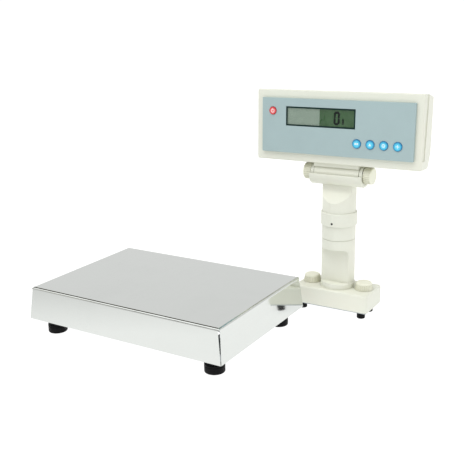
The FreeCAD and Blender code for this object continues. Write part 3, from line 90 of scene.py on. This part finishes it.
# ------------------------------------------------------------------ node helper
class Look:
    """One procedural material: a Principled shader and the few nodes that feed it."""

    def __init__(self, name):
        self.material = bpy.data.materials.new(name)
        self.material.use_nodes = True
        self.tree = self.material.node_tree
        self.tree.nodes.clear()
        self.out = self.tree.nodes.new("ShaderNodeOutputMaterial")
        self.body = self.tree.nodes.new("ShaderNodeBsdfPrincipled")
        self.link(self.body.outputs[0], self.out.inputs["Surface"])
        self.where = self.tree.nodes.new("ShaderNodeTexCoord").outputs["Object"]

    def link(self, a, b):
        self.tree.links.new(a, b)

    def set(self, **values):
        for key, value in values.items():
            self.body.inputs[key.replace("_", " ")].default_value = value

    def feed(self, socket, value):
        if hasattr(value, "is_linked") or isinstance(value, bpy.types.NodeSocket):
            self.link(value, socket)
        else:
            socket.default_value = value

    def stretched(self, scale):
        node = self.tree.nodes.new("ShaderNodeMapping")
        node.inputs["Scale"].default_value = scale
        self.link(self.where, node.inputs["Vector"])
        return node.outputs[0]

    def noise(self, scale, detail=2.0, rough=0.5, vector=None, distortion=0.0):
        node = self.tree.nodes.new("ShaderNodeTexNoise")
        node.inputs["Scale"].default_value = scale
        node.inputs["Detail"].default_value = detail
        node.inputs["Roughness"].default_value = rough
        node.inputs["Distortion"].default_value = distortion
        self.link(vector or self.where, node.inputs["Vector"])
        return node.outputs[0]

    def cells(self, scale, vector=None, feature="F1"):
        node = self.tree.nodes.new("ShaderNodeTexVoronoi")
        node.feature = feature
        node.inputs["Scale"].default_value = scale
        self.link(vector or self.where, node.inputs["Vector"])
        return node.outputs["Distance"]

    def remap(self, value, a, b, c, d):
        node = self.tree.nodes.new("ShaderNodeMapRange")
        node.clamp = True
        self.link(value, node.inputs["Value"])
        for key, v in (("From Min", a), ("From Max", b), ("To Min", c), ("To Max", d)):
            node.inputs[key].default_value = v
        return node.outputs[0]

    def math(self, how, a, b=0.0):
        node = self.tree.nodes.new("ShaderNodeMath")
        node.operation = how
        self.feed(node.inputs[0], a)
        self.feed(node.inputs[1], b)
        return node.outputs[0]

    def mix(self, amount, a, b):
        node = self.tree.nodes.new("ShaderNodeMix")
        node.data_type = "RGBA"
        self.feed(node.inputs["Factor"], amount)
        self.feed(node.inputs[6], a)
        self.feed(node.inputs[7], b)
        return node.outputs[2]

    def edges(self, radius, low, high):
        """1 on outside edges and 0 on open faces, from the Bevel node."""
        bevel = self.tree.nodes.new("ShaderNodeBevel")
        bevel.samples = 4
        bevel.inputs["Radius"].default_value = radius
        geometry = self.tree.nodes.new("ShaderNodeNewGeometry")
        dot = self.tree.nodes.new("ShaderNodeVectorMath")
        dot.operation = "DOT_PRODUCT"
        self.link(bevel.outputs[0], dot.inputs[0])
        self.link(geometry.outputs["Normal"], dot.inputs[1])
        return self.remap(dot.outputs["Value"], low, high, 1.0, 0.0)

    def creases(self, distance, darkest):
        node = self.tree.nodes.new("ShaderNodeAmbientOcclusion")
        node.samples = 4
        node.inputs["Distance"].default_value = distance
        return self.remap(node.outputs["AO"], darkest, 1.0, 1.0, 0.0)

    def relief(self, *layers, soften=0.0):
        """layers are (height, strength, metres); soften rounds sharp edges by that radius."""
        normal = None
        if soften:
            bevel = self.tree.nodes.new("ShaderNodeBevel")
            bevel.samples = 4
            bevel.inputs["Radius"].default_value = soften
            normal = bevel.outputs[0]
        for height, strength, distance in layers:
            bump = self.tree.nodes.new("ShaderNodeBump")
            bump.inputs["Strength"].default_value = strength
            bump.inputs["Distance"].default_value = distance
            self.link(height, bump.inputs["Height"])
            if normal is not None:
                self.link(normal, bump.inputs["Normal"])
            normal = bump.outputs[0]
        self.link(normal, self.body.inputs["Normal"])

    def colour(self, value):
        self.link(value, self.body.inputs["Base Color"])

    def roughness(self, value):
        self.link(value, self.body.inputs["Roughness"])


# ------------------------------------------------------------------ finishes
def moulded(name, colour, rough=0.42, grain=0.5, soften=0.35 * MM, dust_and_shade=0.5, reach=3.5 * MM):
    """Moulded plastic: fine spark texture, slow colour drift, lighter polished edges with a painted soft
    highlight, and creases darkened and browned by ambient occlusion, mostly painted shade with a little
    soiling.
    """
    look = Look(name)
    drift = look.noise(7.0, 3.0)
    blotch = look.noise(46.0, 4.0, 0.6)
    yellow = (min(1, colour[0] * 1.02), colour[1] * 0.99, colour[2] * 0.97, 1.0)
    base = look.mix(look.remap(drift, 0.3, 0.7, 0, 1), shade(colour, 0.985), yellow)
    base = look.mix(look.remap(blotch, 0.35, 0.75, 0.0, 0.35), base, shade(colour, 1.03))
    # edges lighter and glossier: polish from rubbing, with a painted soft highlight along them
    edge_mask = look.edges(0.8 * MM, 0.90, 0.999)
    base = look.mix(look.math("MULTIPLY", edge_mask, 0.35), base, shade(colour, 1.07))
    # painted shade: ambient occlusion darkens and browns creases and faces close under other parts, such
    # as the knob tops under the head, with a little soiling in it
    dust_and_shade_mask = look.math("MULTIPLY", look.creases(reach, 0.15), 0.22 * dust_and_shade)
    dust_and_shade_tint = (colour[0] * 0.45, colour[1] * 0.43, colour[2] * 0.34, 1.0)
    base = look.mix(dust_and_shade_mask, base, dust_and_shade_tint)
    look.colour(base)
    spark = look.noise(2600.0, 2.0, 0.65)
    rub = look.noise(90.0, 4.0, 0.6)
    level = look.remap(rub, 0.3, 0.7, rough - 0.05, rough + 0.06)
    look.roughness(look.math("SUBTRACT", level, look.math("MULTIPLY", edge_mask, 0.10)))
    look.relief((look.noise(140.0, 2.0), 0.10, 0.10 * MM), (spark, grain, 0.018 * MM), soften=soften)
    look.set(IOR=1.49, Specular_IOR_Level=0.45)
    return look.material


def rubber(name, colour, rough=0.5):
    """Moulded rubber: cloudy bloom, fine grain and grey, powdery edges."""
    look = Look(name)
    bloom = look.noise(60.0, 5.0, 0.65)
    base = look.mix(look.remap(bloom, 0.4, 0.75, 0.0, 0.5), colour, shade(colour, 2.2))
    edge_mask = look.edges(0.6 * MM, 0.90, 0.999)
    look.colour(look.mix(look.math("MULTIPLY", edge_mask, 0.3), base, linear(34, 34, 33)))
    look.roughness(look.remap(look.noise(220.0, 3.0), 0.3, 0.7, rough - 0.1, rough + 0.15))
    look.relief((look.noise(900.0, 3.0, 0.7), 0.35, 0.05 * MM), soften=0.4 * MM)
    look.set(Specular_IOR_Level=0.15)
    return look.material


def sheet_steel(name, colour, rough, along="y", streak=1.0, stain=0.35):
    """Rolled stainless: long fine grinding streaks, faint smudges, brighter rubbed edges."""
    look = Look(name)
    long_way = {"y": (620.0, 9.0, 620.0), "x": (9.0, 620.0, 620.0)}[along]
    fine = look.noise(1.0, 3.0, 0.6, look.stretched(long_way))
    coarse = look.noise(1.0, 2.0, 0.5, look.stretched(tuple(v * 0.22 for v in long_way)))
    smudge = look.noise(11.0, 5.0, 0.62, distortion=0.6)
    base = look.mix(look.remap(fine, 0.3, 0.7, 0, 1), shade(colour, 1 - 0.020 * streak),
                    shade(colour, 1 + 0.016 * streak))
    base = look.mix(look.remap(smudge, 0.45, 0.8, 0.0, stain), base, shade(colour, 0.94))
    look.colour(base)
    level = look.remap(fine, 0.25, 0.75, rough * 0.75, rough * 1.3)
    level = look.math("ADD", level, look.remap(smudge, 0.45, 0.8, 0.0, 0.07))
    look.roughness(look.math("ADD", level, look.remap(coarse, 0.3, 0.7, -0.01, 0.02)))
    look.relief((coarse, 0.05 * streak, 0.02 * MM), (fine, 0.10 * streak, 0.004 * MM))
    look.set(Metallic=1.0)
    return look.material


def plated(name, colour, rough=0.3, spangle=0.5):
    """Zinc-plated or cast metal: cloudy crystals and small scratches."""
    look = Look(name)
    cloud = look.cells(130.0)
    base = look.mix(look.remap(cloud, 0.0, 0.7, 0, spangle), colour, shade(colour, 0.84))
    base = look.mix(look.remap(look.noise(35.0, 4.0), 0.45, 0.8, 0, 0.3), base, shade(colour, 1.12))
    look.colour(base)
    scratch = look.noise(1.0, 2.0, 0.5, look.stretched((1500.0, 60.0, 300.0)))
    look.roughness(look.remap(scratch, 0.3, 0.7, rough - 0.06, rough + 0.10))
    look.relief((scratch, 0.2, 0.01 * MM), soften=0.25 * MM)
    look.set(Metallic=1.0)
    return look.material


def powder_coat(name, colour, rough=0.45):
    """Powder-coated steel: orange-peel skin and rubbed edges."""
    look = Look(name)
    peel = look.noise(520.0, 2.0, 0.5)
    cloud = look.noise(14.0, 4.0)
    base = look.mix(look.remap(cloud, 0.35, 0.7, 0, 1), shade(colour, 0.95), shade(colour, 1.05))
    edge_mask = look.edges(0.6 * MM, 0.90, 0.999)
    look.colour(look.mix(look.math("MULTIPLY", edge_mask, 0.5), base, linear(190, 192, 190)))
    look.roughness(look.remap(peel, 0.3, 0.7, rough - 0.06, rough + 0.08))
    look.relief((peel, 0.35, 0.05 * MM), soften=0.4 * MM)
    return look.material


def printed_film(name, colour):
    """Screen-printed polyester overlay: matt lacquer grain and a slight cloudiness in the ink."""
    look = Look(name)
    cloud = look.noise(24.0, 4.0, 0.55)
    base = look.mix(look.remap(cloud, 0.3, 0.7, 0, 1), shade(colour, 0.972), shade(colour, 1.025))
    speck = look.noise(1900.0, 2.0, 0.6)
    base = look.mix(look.remap(speck, 0.35, 0.7, 0.0, 0.14), base, shade(colour, 1.12))
    # the film is darker along its edges
    edge_mask = look.edges(0.5 * MM, 0.90, 0.999)
    look.colour(look.mix(look.math("MULTIPLY", edge_mask, 0.25), base, shade(colour, 0.70)))
    look.roughness(look.remap(cloud, 0.3, 0.7, 0.44, 0.54))
    look.relief((speck, 0.22, 0.012 * MM), soften=0.2 * MM)
    look.set(Specular_IOR_Level=0.4)
    return look.material


def domed_key(name, painted_lit_middle, painted_shaded_rim):
    """Translucent moulded key: paler in the middle and deeper round its edge, the dome's light and shade
    painted into its colour.
    """
    look = Look(name)
    spot = look.tree.nodes.new("ShaderNodeTexCoord").outputs["Generated"]
    apart = look.tree.nodes.new("ShaderNodeVectorMath")
    apart.operation = "SUBTRACT"
    look.link(spot, apart.inputs[0])
    apart.inputs[1].default_value = (0.5, 0.5, 0.5)
    flat = look.tree.nodes.new("ShaderNodeVectorMath")
    flat.operation = "MULTIPLY"
    look.link(apart.outputs[0], flat.inputs[0])
    flat.inputs[1].default_value = (2.0, 0.0, 2.0)
    length = look.tree.nodes.new("ShaderNodeVectorMath")
    length.operation = "LENGTH"
    look.link(flat.outputs[0], length.inputs[0])
    # painted shade: the colour deepens from the middle outwards as the dome's shading
    dome_shade = look.remap(length.outputs["Value"], 0.28, 0.80, 0.0, 1.0)
    swirl = look.remap(look.noise(420.0, 3.0), 0.35, 0.7, 0.0, 0.12)
    base = look.mix(look.math("ADD", look.math("POWER", dome_shade, 1.6), swirl), painted_lit_middle, painted_shaded_rim)
    look.colour(base)
    look.roughness(look.remap(look.noise(700.0, 3.0), 0.3, 0.7, 0.24, 0.34))
    look.relief((look.noise(1500.0, 2.0), 0.12, 0.015 * MM), soften=0.3 * MM)
    look.set(Coat_Weight=0.35, Coat_Roughness=0.12, Subsurface_Weight=0.0)
    return look.material


def ink(name, colour, rough=0.5, shine=0.5):
    """Printed ink: slightly patchy colour and gloss."""
    look = Look(name)
    patch = look.noise(1200.0, 3.0, 0.6)
    look.colour(look.mix(look.remap(patch, 0.35, 0.7, 0, 1), shade(colour, 0.93), shade(colour, 1.05)))
    look.roughness(look.remap(patch, 0.3, 0.7, rough - 0.05, rough + 0.08))
    look.relief((patch, 0.2, 0.01 * MM))
    look.set(Specular_IOR_Level=shine)
    return look.material


def display_glass(name, low, high, rough=0.22):
    """The liquid-crystal glass: polariser sheen over a cloudy reflector."""
    look = Look(name)
    cloud = look.noise(60.0, 4.0, 0.6, distortion=0.4)
    grain = look.noise(3200.0, 2.0, 0.7)
    base = look.mix(look.remap(cloud, 0.3, 0.72, 0, 1), low, high)
    base = look.mix(look.remap(grain, 0.35, 0.7, 0, 0.25), base, shade(high, 1.1))
    look.colour(base)
    look.roughness(look.remap(cloud, 0.3, 0.7, rough - 0.04, rough + 0.05))
    look.relief((grain, 0.1, 0.006 * MM))
    look.set(Coat_Weight=0.15, Coat_Roughness=0.05, Specular_IOR_Level=0.3)
    return look.material


def clear_window(name):
    """The display window: nearly invisible, with faint smears."""
    look = Look(name)
    smear = look.noise(120.0, 4.0, 0.6)
    look.colour(look.mix(look.remap(smear, 0.3, 0.7, 0, 1), linear(196, 210, 204), linear(214, 224, 220)))
    look.roughness(look.remap(smear, 0.3, 0.7, 0.04, 0.12))
    look.relief((look.noise(30.0, 1.0), 0.02, 0.02 * MM))
    look.set(Alpha=0.015)
    return look.material


def circuit_board(name):
    """Solder mask over raised copper tracks."""
    look = Look(name)
    tracks = look.cells(420.0, look.stretched((1.0, 1.0, 0.35)), "DISTANCE_TO_EDGE")
    base = look.mix(look.remap(tracks, 0.02, 0.06, 1, 0), linear(22, 84, 52), linear(40, 120, 74))
    look.colour(base)
    look.roughness(look.remap(tracks, 0.0, 0.2, 0.25, 0.42))
    look.relief((look.remap(tracks, 0.02, 0.06, 1, 0), 0.3, 0.03 * MM))
    return look.material


CREAM = linear(230, 233, 221)
KNOB = linear(236, 238, 221)
LOOKS = {
    "stainless": sheet_steel("stainless", linear(216, 219, 216), 0.05, streak=0.5),
    "zinc_steel": plated("zinc_steel", linear(196, 198, 200)),
    "frame_paint": powder_coat("frame_paint", linear(176, 184, 188)),
    "cast_alu": plated("cast_alu", linear(178, 180, 182), 0.48, 0.7),
    "cell_alu": sheet_steel("cell_alu", linear(206, 208, 210), 0.30, "x", 2.0),
    "black_rubber": rubber("black_rubber", linear(4, 4, 5)),
    # cream_plastic and cream_knob darken their creases strongly: painted shade in the head's grooves and
    # under it, and the head's shadow painted on the tilt knobs
    "cream_plastic": moulded("cream_plastic", CREAM, dust_and_shade=1.2, reach=6 * MM),
    "cream_knob": moulded("cream_knob", KNOB, 0.46, 0.7, 0.2 * MM, 3.2, 12 * MM),
    "panel_film": printed_film("panel_film", linear(167, 188, 190)),
    "lcd_glass": display_glass("lcd_glass", linear(60, 74, 66), linear(84, 98, 88)),
    "lens_clear": clear_window("lens_clear"),
    "dark_metal": plated("dark_metal", linear(70, 72, 74), 0.36),
    "board_green": circuit_board("board_green"),
    "dark_plastic": moulded("dark_plastic", linear(38, 46, 48), 0.45, 0.5, 0.2 * MM),
    "red_key": domed_key("red_key", linear(255, 122, 122), linear(190, 24, 40)),
    "blue_key": domed_key("blue_key", linear(96, 222, 255), linear(0, 128, 182)),
    "level_plastic": moulded("level_plastic", linear(206, 226, 120), 0.2, 0.1, 0.2 * MM),
    "battery_wrap": moulded("battery_wrap", linear(60, 78, 128), 0.35, 0.2, 0.3 * MM),
    "lead_grey": moulded("lead_grey", linear(96, 98, 100), 0.5, 0.5, 0.2 * MM),
}

LOOK_MASK = ink("lcd_mask", linear(24, 48, 44), 0.5, 0.1)
# the pale left half of the display is a painted reflection of glare on the glass; the darker right half
# is the display's own green
LOOK_PAINTED_GLARE = display_glass("lcd_painted_glare", linear(126, 144, 130), linear(138, 155, 141), 0.3)
LOOK_DARK = display_glass("lcd_deep", linear(40, 76, 38), linear(64, 98, 62), 0.3)
LOOK_DIGIT = ink("lcd_digit", linear(3, 10, 6), 0.6, 0.05)
LOOK_PRINT = ink("key_print", linear(236, 248, 250), 0.4)


def dress_cad_nodes():
    slots = {part["node"]: part["material_slot"] for part in frame["record"]["subparts"]}
    for name, obj in NODES.items():
        obj.data.materials.clear()
        obj.data.materials.append(LOOKS[slots[name]])


# ------------------------------------------------------------------ mesh helpers
def new_piece(name, mesh, material, body):
    obj = bpy.data.objects.new(name, mesh)
    bpy.context.scene.collection.objects.link(obj)
    obj.data.materials.append(material)
    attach(obj, body)


def plates(outlines, place, thick):
    """Thin raised shapes. outlines are lists of (u, w) points; place maps (u, depth, w) to the scene."""
    mesh = bpy.data.meshes.new("plates")
    bm = bmesh.new()
    for outline in outlines:
        front = [bm.verts.new(place(u, thick, w)) for u, w in outline]
        back = [bm.verts.new(place(u, 0.0, w)) for u, w in outline]
        bm.faces.new(front)
        bm.faces.new(list(reversed(back)))
        for i in range(len(outline)):
            j = (i + 1) % len(outline)
            bm.faces.new((front[j], front[i], back[i], back[j]))
    bmesh.ops.recalc_face_normals(bm, faces=bm.faces)
    bm.to_mesh(mesh)
    bm.free()
    return mesh


# ------------------------------------------------------------------ display and key prints
# millimetres from the hinge axis, in the head's own leaning axes
LEAN = math.radians(1.7)
LENS_FACE = -24.1
LENS_REAR = -23.1
KEY_FACE = -25.8
FACE_UP = 75.0
LCD_UP = FACE_UP + 15.5
POWER_UP = FACE_UP + 23.1
KEYS_UP = FACE_UP - 22.2

LCD_TALL = 30.9
MASK_W = 2.3
MASK_PROUD = 0.22
FIELD_INSET = 3.5
FIELD_T = 0.5
FIELD_SPLIT = -0.01
DIGIT_T = 0.045
DIGIT_SLANT = 0.03
PRINT_T = 0.06


def on_head(x, y, z):
    """Millimetres from the hinge axis, in the head's own leaning axes, to metres in the scene."""
    low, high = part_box("tilt_shaft")
    hinge = (low + high) / 2
    return Vector((hinge.x + x * MM, hinge.y + (y * math.cos(LEAN) + z * math.sin(LEAN)) * MM,
                   hinge.z + (z * math.cos(LEAN) - y * math.sin(LEAN)) * MM))


def head_plates(outlines, cx, cz, y, thick):
    """Plates on the front of the head, around (cx, cz) and rising from depth y towards the reader."""
    return plates(outlines, lambda u, d, w: on_head(cx + u, y - d, cz + w), thick)


def rectangle(x0, x1, z0, z1):
    return [(x0, z0), (x1, z0), (x1, z1), (x0, z1)]


def ring(radius, width, start, end, steps):
    """An open ring as a row of quads, angles in degrees from the top."""
    quads = []
    for i in range(steps):
        a, b = [math.radians(start + (end - start) * (i + k) / steps) for k in (0, 1)]
        quads.append([(math.sin(t) * r, math.cos(t) * r) for t, r in
                      ((a, radius), (b, radius), (b, radius - width), (a, radius - width))])
    return quads


def mitred_frame(w, h, width):
    """Four strips of one width with mitred corners."""
    x, z, k = w / 2, h / 2, width
    return [[(-x, z), (x, z), (x - k, z - k), (k - x, z - k)],
            [(-x, -z), (x, -z), (x - k, k - z), (k - x, k - z)],
            [(-x, -z), (-x, z), (k - x, z - k), (k - x, k - z)],
            [(x, -z), (x, z), (x - k, z - k), (x - k, k - z)]]


def segment_bar(x0, z0, x1, z1, half):
    """One display segment with pointed ends between two points."""
    length = math.hypot(x1 - x0, z1 - z0)
    ux, uz = (x1 - x0) / length, (z1 - z0) / length
    near, far = half, length - half
    line = ((0, 0), (near, half), (far, half), (length, 0), (far, -half), (near, -half))
    return [(x0 + ux * a - uz * b, z0 + uz * a + ux * b) for a, b in line]


def digit_zero(cx, cz, w, h, half, slant):
    """The six outer segments of a seven-segment digit; their ends overlap a little."""
    x, z, lap = w / 2, h / 2, half * 0.35
    bars = []
    for x0, z0, x1, z1 in ((-x, z, x, z), (-x, -z, x, -z), (-x, 0, -x, z), (x, 0, x, z),
                           (-x, -z, -x, 0), (x, -z, x, 0)):
        length = math.hypot(x1 - x0, z1 - z0)
        ux, uz = (x1 - x0) / length * lap, (z1 - z0) / length * lap
        bar = segment_bar(x0 - ux, z0 - uz, x1 + ux, z1 + uz, half)
        bars.append([(cx + u + w2 * slant, cz + w2) for u, w2 in bar])
    return bars


def right_of_hinge(node):
    """How far the middle of a node is to the right of the hinge's middle, in millimetres."""
    low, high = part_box(node)
    hinge_low, hinge_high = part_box("tilt_shaft")
    return ((low.x + high.x) - (hinge_low.x + hinge_high.x)) / 2 / MM


def dress_display():
    low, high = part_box("lcd_lens")
    cx, wide = right_of_hinge("lcd_lens"), (high.x - low.x) / MM
    half_w, half_h = (wide - FIELD_INSET) / 2, (LCD_TALL - FIELD_INSET) / 2
    split = FIELD_SPLIT * wide
    digit = digit_zero(28.3, 0.0, 6.9, 17.8, 1.75, DIGIT_SLANT)
    digit.append(segment_bar(39.0, -0.2, 39.0, -8.4, 1.45))
    digit.append(segment_bar(37.2, -2.2, 39.4, -0.8, 0.6))
    digit.append(segment_bar(37.2, -8.6, 41.2, -8.6, 0.6))
    layers = (
        ("lcd_mask", mitred_frame(wide, LCD_TALL, MASK_W), LENS_FACE - 0.03, MASK_PROUD,
         LOOK_MASK, "dark_metal"),
        # painted reflection: the pale left field stands for glare on the glass
        ("lcd_field_left_glare", [rectangle(-half_w, split, -half_h, half_h)], LENS_REAR + 0.55, FIELD_T,
         LOOK_PAINTED_GLARE, "lcd_glass"),
        ("lcd_field_right", [rectangle(split, half_w, -half_h, half_h)], LENS_REAR + 0.58, FIELD_T,
         LOOK_DARK, "lcd_glass"),
        ("lcd_digit", digit, LENS_REAR + 0.07, DIGIT_T, LOOK_DIGIT, "lcd_glass"),
    )
    for name, outlines, depth, thick, look, slot in layers:
        new_piece(name, head_plates(outlines, cx, LCD_UP, depth, thick), look, "display_head")


def print_keys():
    """A generic white sign on each key."""
    signs = (
        ("key_power", POWER_UP, "power_button", "red_key",
         ring(3.1, 0.85, 38.0, 322.0, 30) + [rectangle(-0.45, 0.45, 0.4, 3.6)]),
        ("key_1", KEYS_UP, "button_1", "blue_key",
         [rectangle(-2.9, -0.4, -1.3, 1.5), rectangle(0.4, 2.9, -1.3, 1.5)]),
        ("key_2", KEYS_UP, "button_2", "blue_key",
         [[(-2.2, -1.8), (2.2, -1.8), (0.0, 2.2)]]),
        ("key_3", KEYS_UP, "button_3", "blue_key",
         ring(2.7, 1.0, 0.0, 360.0, 30) + [rectangle(-0.6, 0.6, -0.6, 0.6)]),
        ("key_4", KEYS_UP, "button_4", "blue_key",
         [rectangle(-2.8, 2.8, -0.55, 0.55), rectangle(-0.55, 0.55, 0.7, 2.6),
          rectangle(-0.55, 0.55, -2.6, -0.7)]),
    )
    for node, up, body, slot, outlines in signs:
        mesh = head_plates(outlines, right_of_hinge(node), up, KEY_FACE, PRINT_T)
        new_piece(node + "_print", mesh, LOOK_PRINT, body)


# ------------------------------------------------------------------ stage and lights
FLOOR_REACH = 40.0
FLOOR_DROP = 0.0004
FLOOR_GLOW = 1.0
FLOOR_RISE = 1.03
FLOOR_PALE = 0.12
FLOOR_FAR = 0.66
FADE_FROM = 0.34
FADE_TO = 0.72
FADE_ALONG = (-0.658, -0.753)
SKY_HORIZON = 1.06
SKY_BACK = 0.86
SKY_TOP = 1.35
SKY_DARK = 0.05
SKY_HAZE = 0.70
SKY_DIM = (1.0, 0.94, 0.68, 1)
WHITE = (1.0, 1.0, 1.0, 1)
HIGH_KEY = 21.0
FRONT_FILL = 7.0


def add_floor():
    mesh = bpy.data.meshes.new("floor")
    bm = bmesh.new()
    bm.faces.new([bm.verts.new((x * FLOOR_REACH, y * FLOOR_REACH, -FLOOR_DROP))
                  for x, y in ((-1, -1), (1, -1), (1, 1), (-1, 1))])
    bm.to_mesh(mesh)
    bm.free()
    floor = bpy.data.objects.new("floor", mesh)
    bpy.context.scene.collection.objects.link(floor)
    look = Look("floor")
    look.colour(look.mix(look.remap(look.noise(1.4, 3.0), 0.3, 0.7, 0, 1),
                         shade(WHITE, FLOOR_PALE), shade(WHITE, FLOOR_PALE * 1.04)))
    look.roughness(look.remap(look.noise(300.0, 2.0), 0.3, 0.7, 0.7, 0.8))
    look.body.inputs["Emission Color"].default_value = (1.0, 1.0, 0.995, 1)
    split = look.tree.nodes.new("ShaderNodeSeparateXYZ")
    look.link(look.where, split.inputs[0])
    glow = look.remap(split.outputs["X"], -0.5, 0.5, FLOOR_GLOW, FLOOR_GLOW * FLOOR_RISE)
    # the floor dims towards the front left, outside the picture, as it does beyond a light table
    aside = look.math("ADD", look.math("MULTIPLY", split.outputs["X"], FADE_ALONG[0]),
                      look.math("MULTIPLY", split.outputs["Y"], FADE_ALONG[1]))
    dim = look.remap(aside, FADE_FROM, FADE_TO, 1.0, FLOOR_FAR)
    look.link(look.math("MULTIPLY", glow, dim), look.body.inputs["Emission Strength"])
    mesh.materials.append(look.material)


def add_world():
    """A studio as seen in mirrors: white sweep behind, softbox over the camera, pale haze low down
    all round, and dim gaps between them."""
    world = bpy.data.worlds.new("studio")
    bpy.context.scene.world = world
    world.use_nodes = True
    tree = world.node_tree
    tree.nodes.clear()
    new, link = tree.nodes.new, tree.links.new

    def calc(how, a, b):
        n = new("ShaderNodeMath")
        n.operation = how
        for socket, value in zip(n.inputs, (a, b)):
            if isinstance(value, (int, float)):
                socket.default_value = value
            else:
                link(value, socket)
        return n.outputs[0]

    def ramp(value, a, b):
        """0 below a and 1 above b."""
        n = new("ShaderNodeMapRange")
        n.interpolation_type = "SMOOTHSTEP"
        link(value, n.inputs["Value"])
        n.inputs["From Min"].default_value = a
        n.inputs["From Max"].default_value = b
        return n.outputs[0]

    def below(value, a, b):
        return calc("SUBTRACT", 1.0, ramp(value, a, b))

    split = new("ShaderNodeSeparateXYZ")
    link(new("ShaderNodeTexCoord").outputs["Generated"], split.inputs[0])
    up = split.outputs["Z"]
    side = calc("ADD", calc("MULTIPLY", split.outputs["X"], -math.sin(CAMERA_AZ)),
                calc("MULTIPLY", split.outputs["Y"], math.cos(CAMERA_AZ)))
    behind = ramp(side, -0.35, 0.05)
    sweep = calc("MULTIPLY", behind, below(up, 0.51, 0.58))
    horizon = calc("MULTIPLY", behind, below(up, 0.05, 0.11))
    softbox = calc("MULTIPLY", ramp(up, 0.49, 0.56), below(side, 0.22, 0.34))
    haze = below(up, 0.33, 0.38)
    level = calc("ADD", calc("MULTIPLY", sweep, SKY_BACK),
                 calc("MULTIPLY", horizon, SKY_HORIZON - SKY_BACK))
    for area, strength in ((softbox, SKY_TOP), (haze, SKY_HAZE)):
        level = calc("MAXIMUM", level, calc("MULTIPLY", area, strength))
    level = calc("MAXIMUM", level, SKY_DARK)
    tint = new("ShaderNodeMix")
    tint.data_type = "RGBA"
    link(ramp(level, 0.25, 0.75), tint.inputs["Factor"])
    tint.inputs[6].default_value = SKY_DIM
    tint.inputs[7].default_value = WHITE
    shader = new("ShaderNodeBackground")
    link(tint.outputs[2], shader.inputs["Color"])
    link(level, shader.inputs["Strength"])
    link(shader.outputs[0], new("ShaderNodeOutputWorld").inputs["Surface"])


def add_softbox(name, at, aim, size, power):
    """A rectangular lamp that lights the part but isn't mirrored in its steel."""
    data = bpy.data.lights.new(name, "AREA")
    data.shape = "RECTANGLE"
    data.size, data.size_y = size
    data.energy = power
    light = bpy.data.objects.new(name, data)
    light.location = at
    light.rotation_euler = (Vector(aim) - Vector(at)).to_track_quat("-Z", "Y").to_euler()
    light.visible_glossy = False
    light.visible_camera = False
    bpy.context.scene.collection.objects.link(light)


def light_studio():
    add_world()
    add_softbox("high_key", (-0.5, -1.1, 3.0), (0.05, 0.1, 0.2), (1.0, 1.0), HIGH_KEY)
    add_softbox("front_fill", (-0.6, -3.0, 0.1), (0.0, 0.0, 0.3), (1.2, 1.0), FRONT_FILL)


# ------------------------------------------------------------------ run
bpy.context.scene.view_settings.view_transform = "Standard"
add_camera()
dress_cad_nodes()
dress_display()
print_keys()
add_floor()
light_studio()
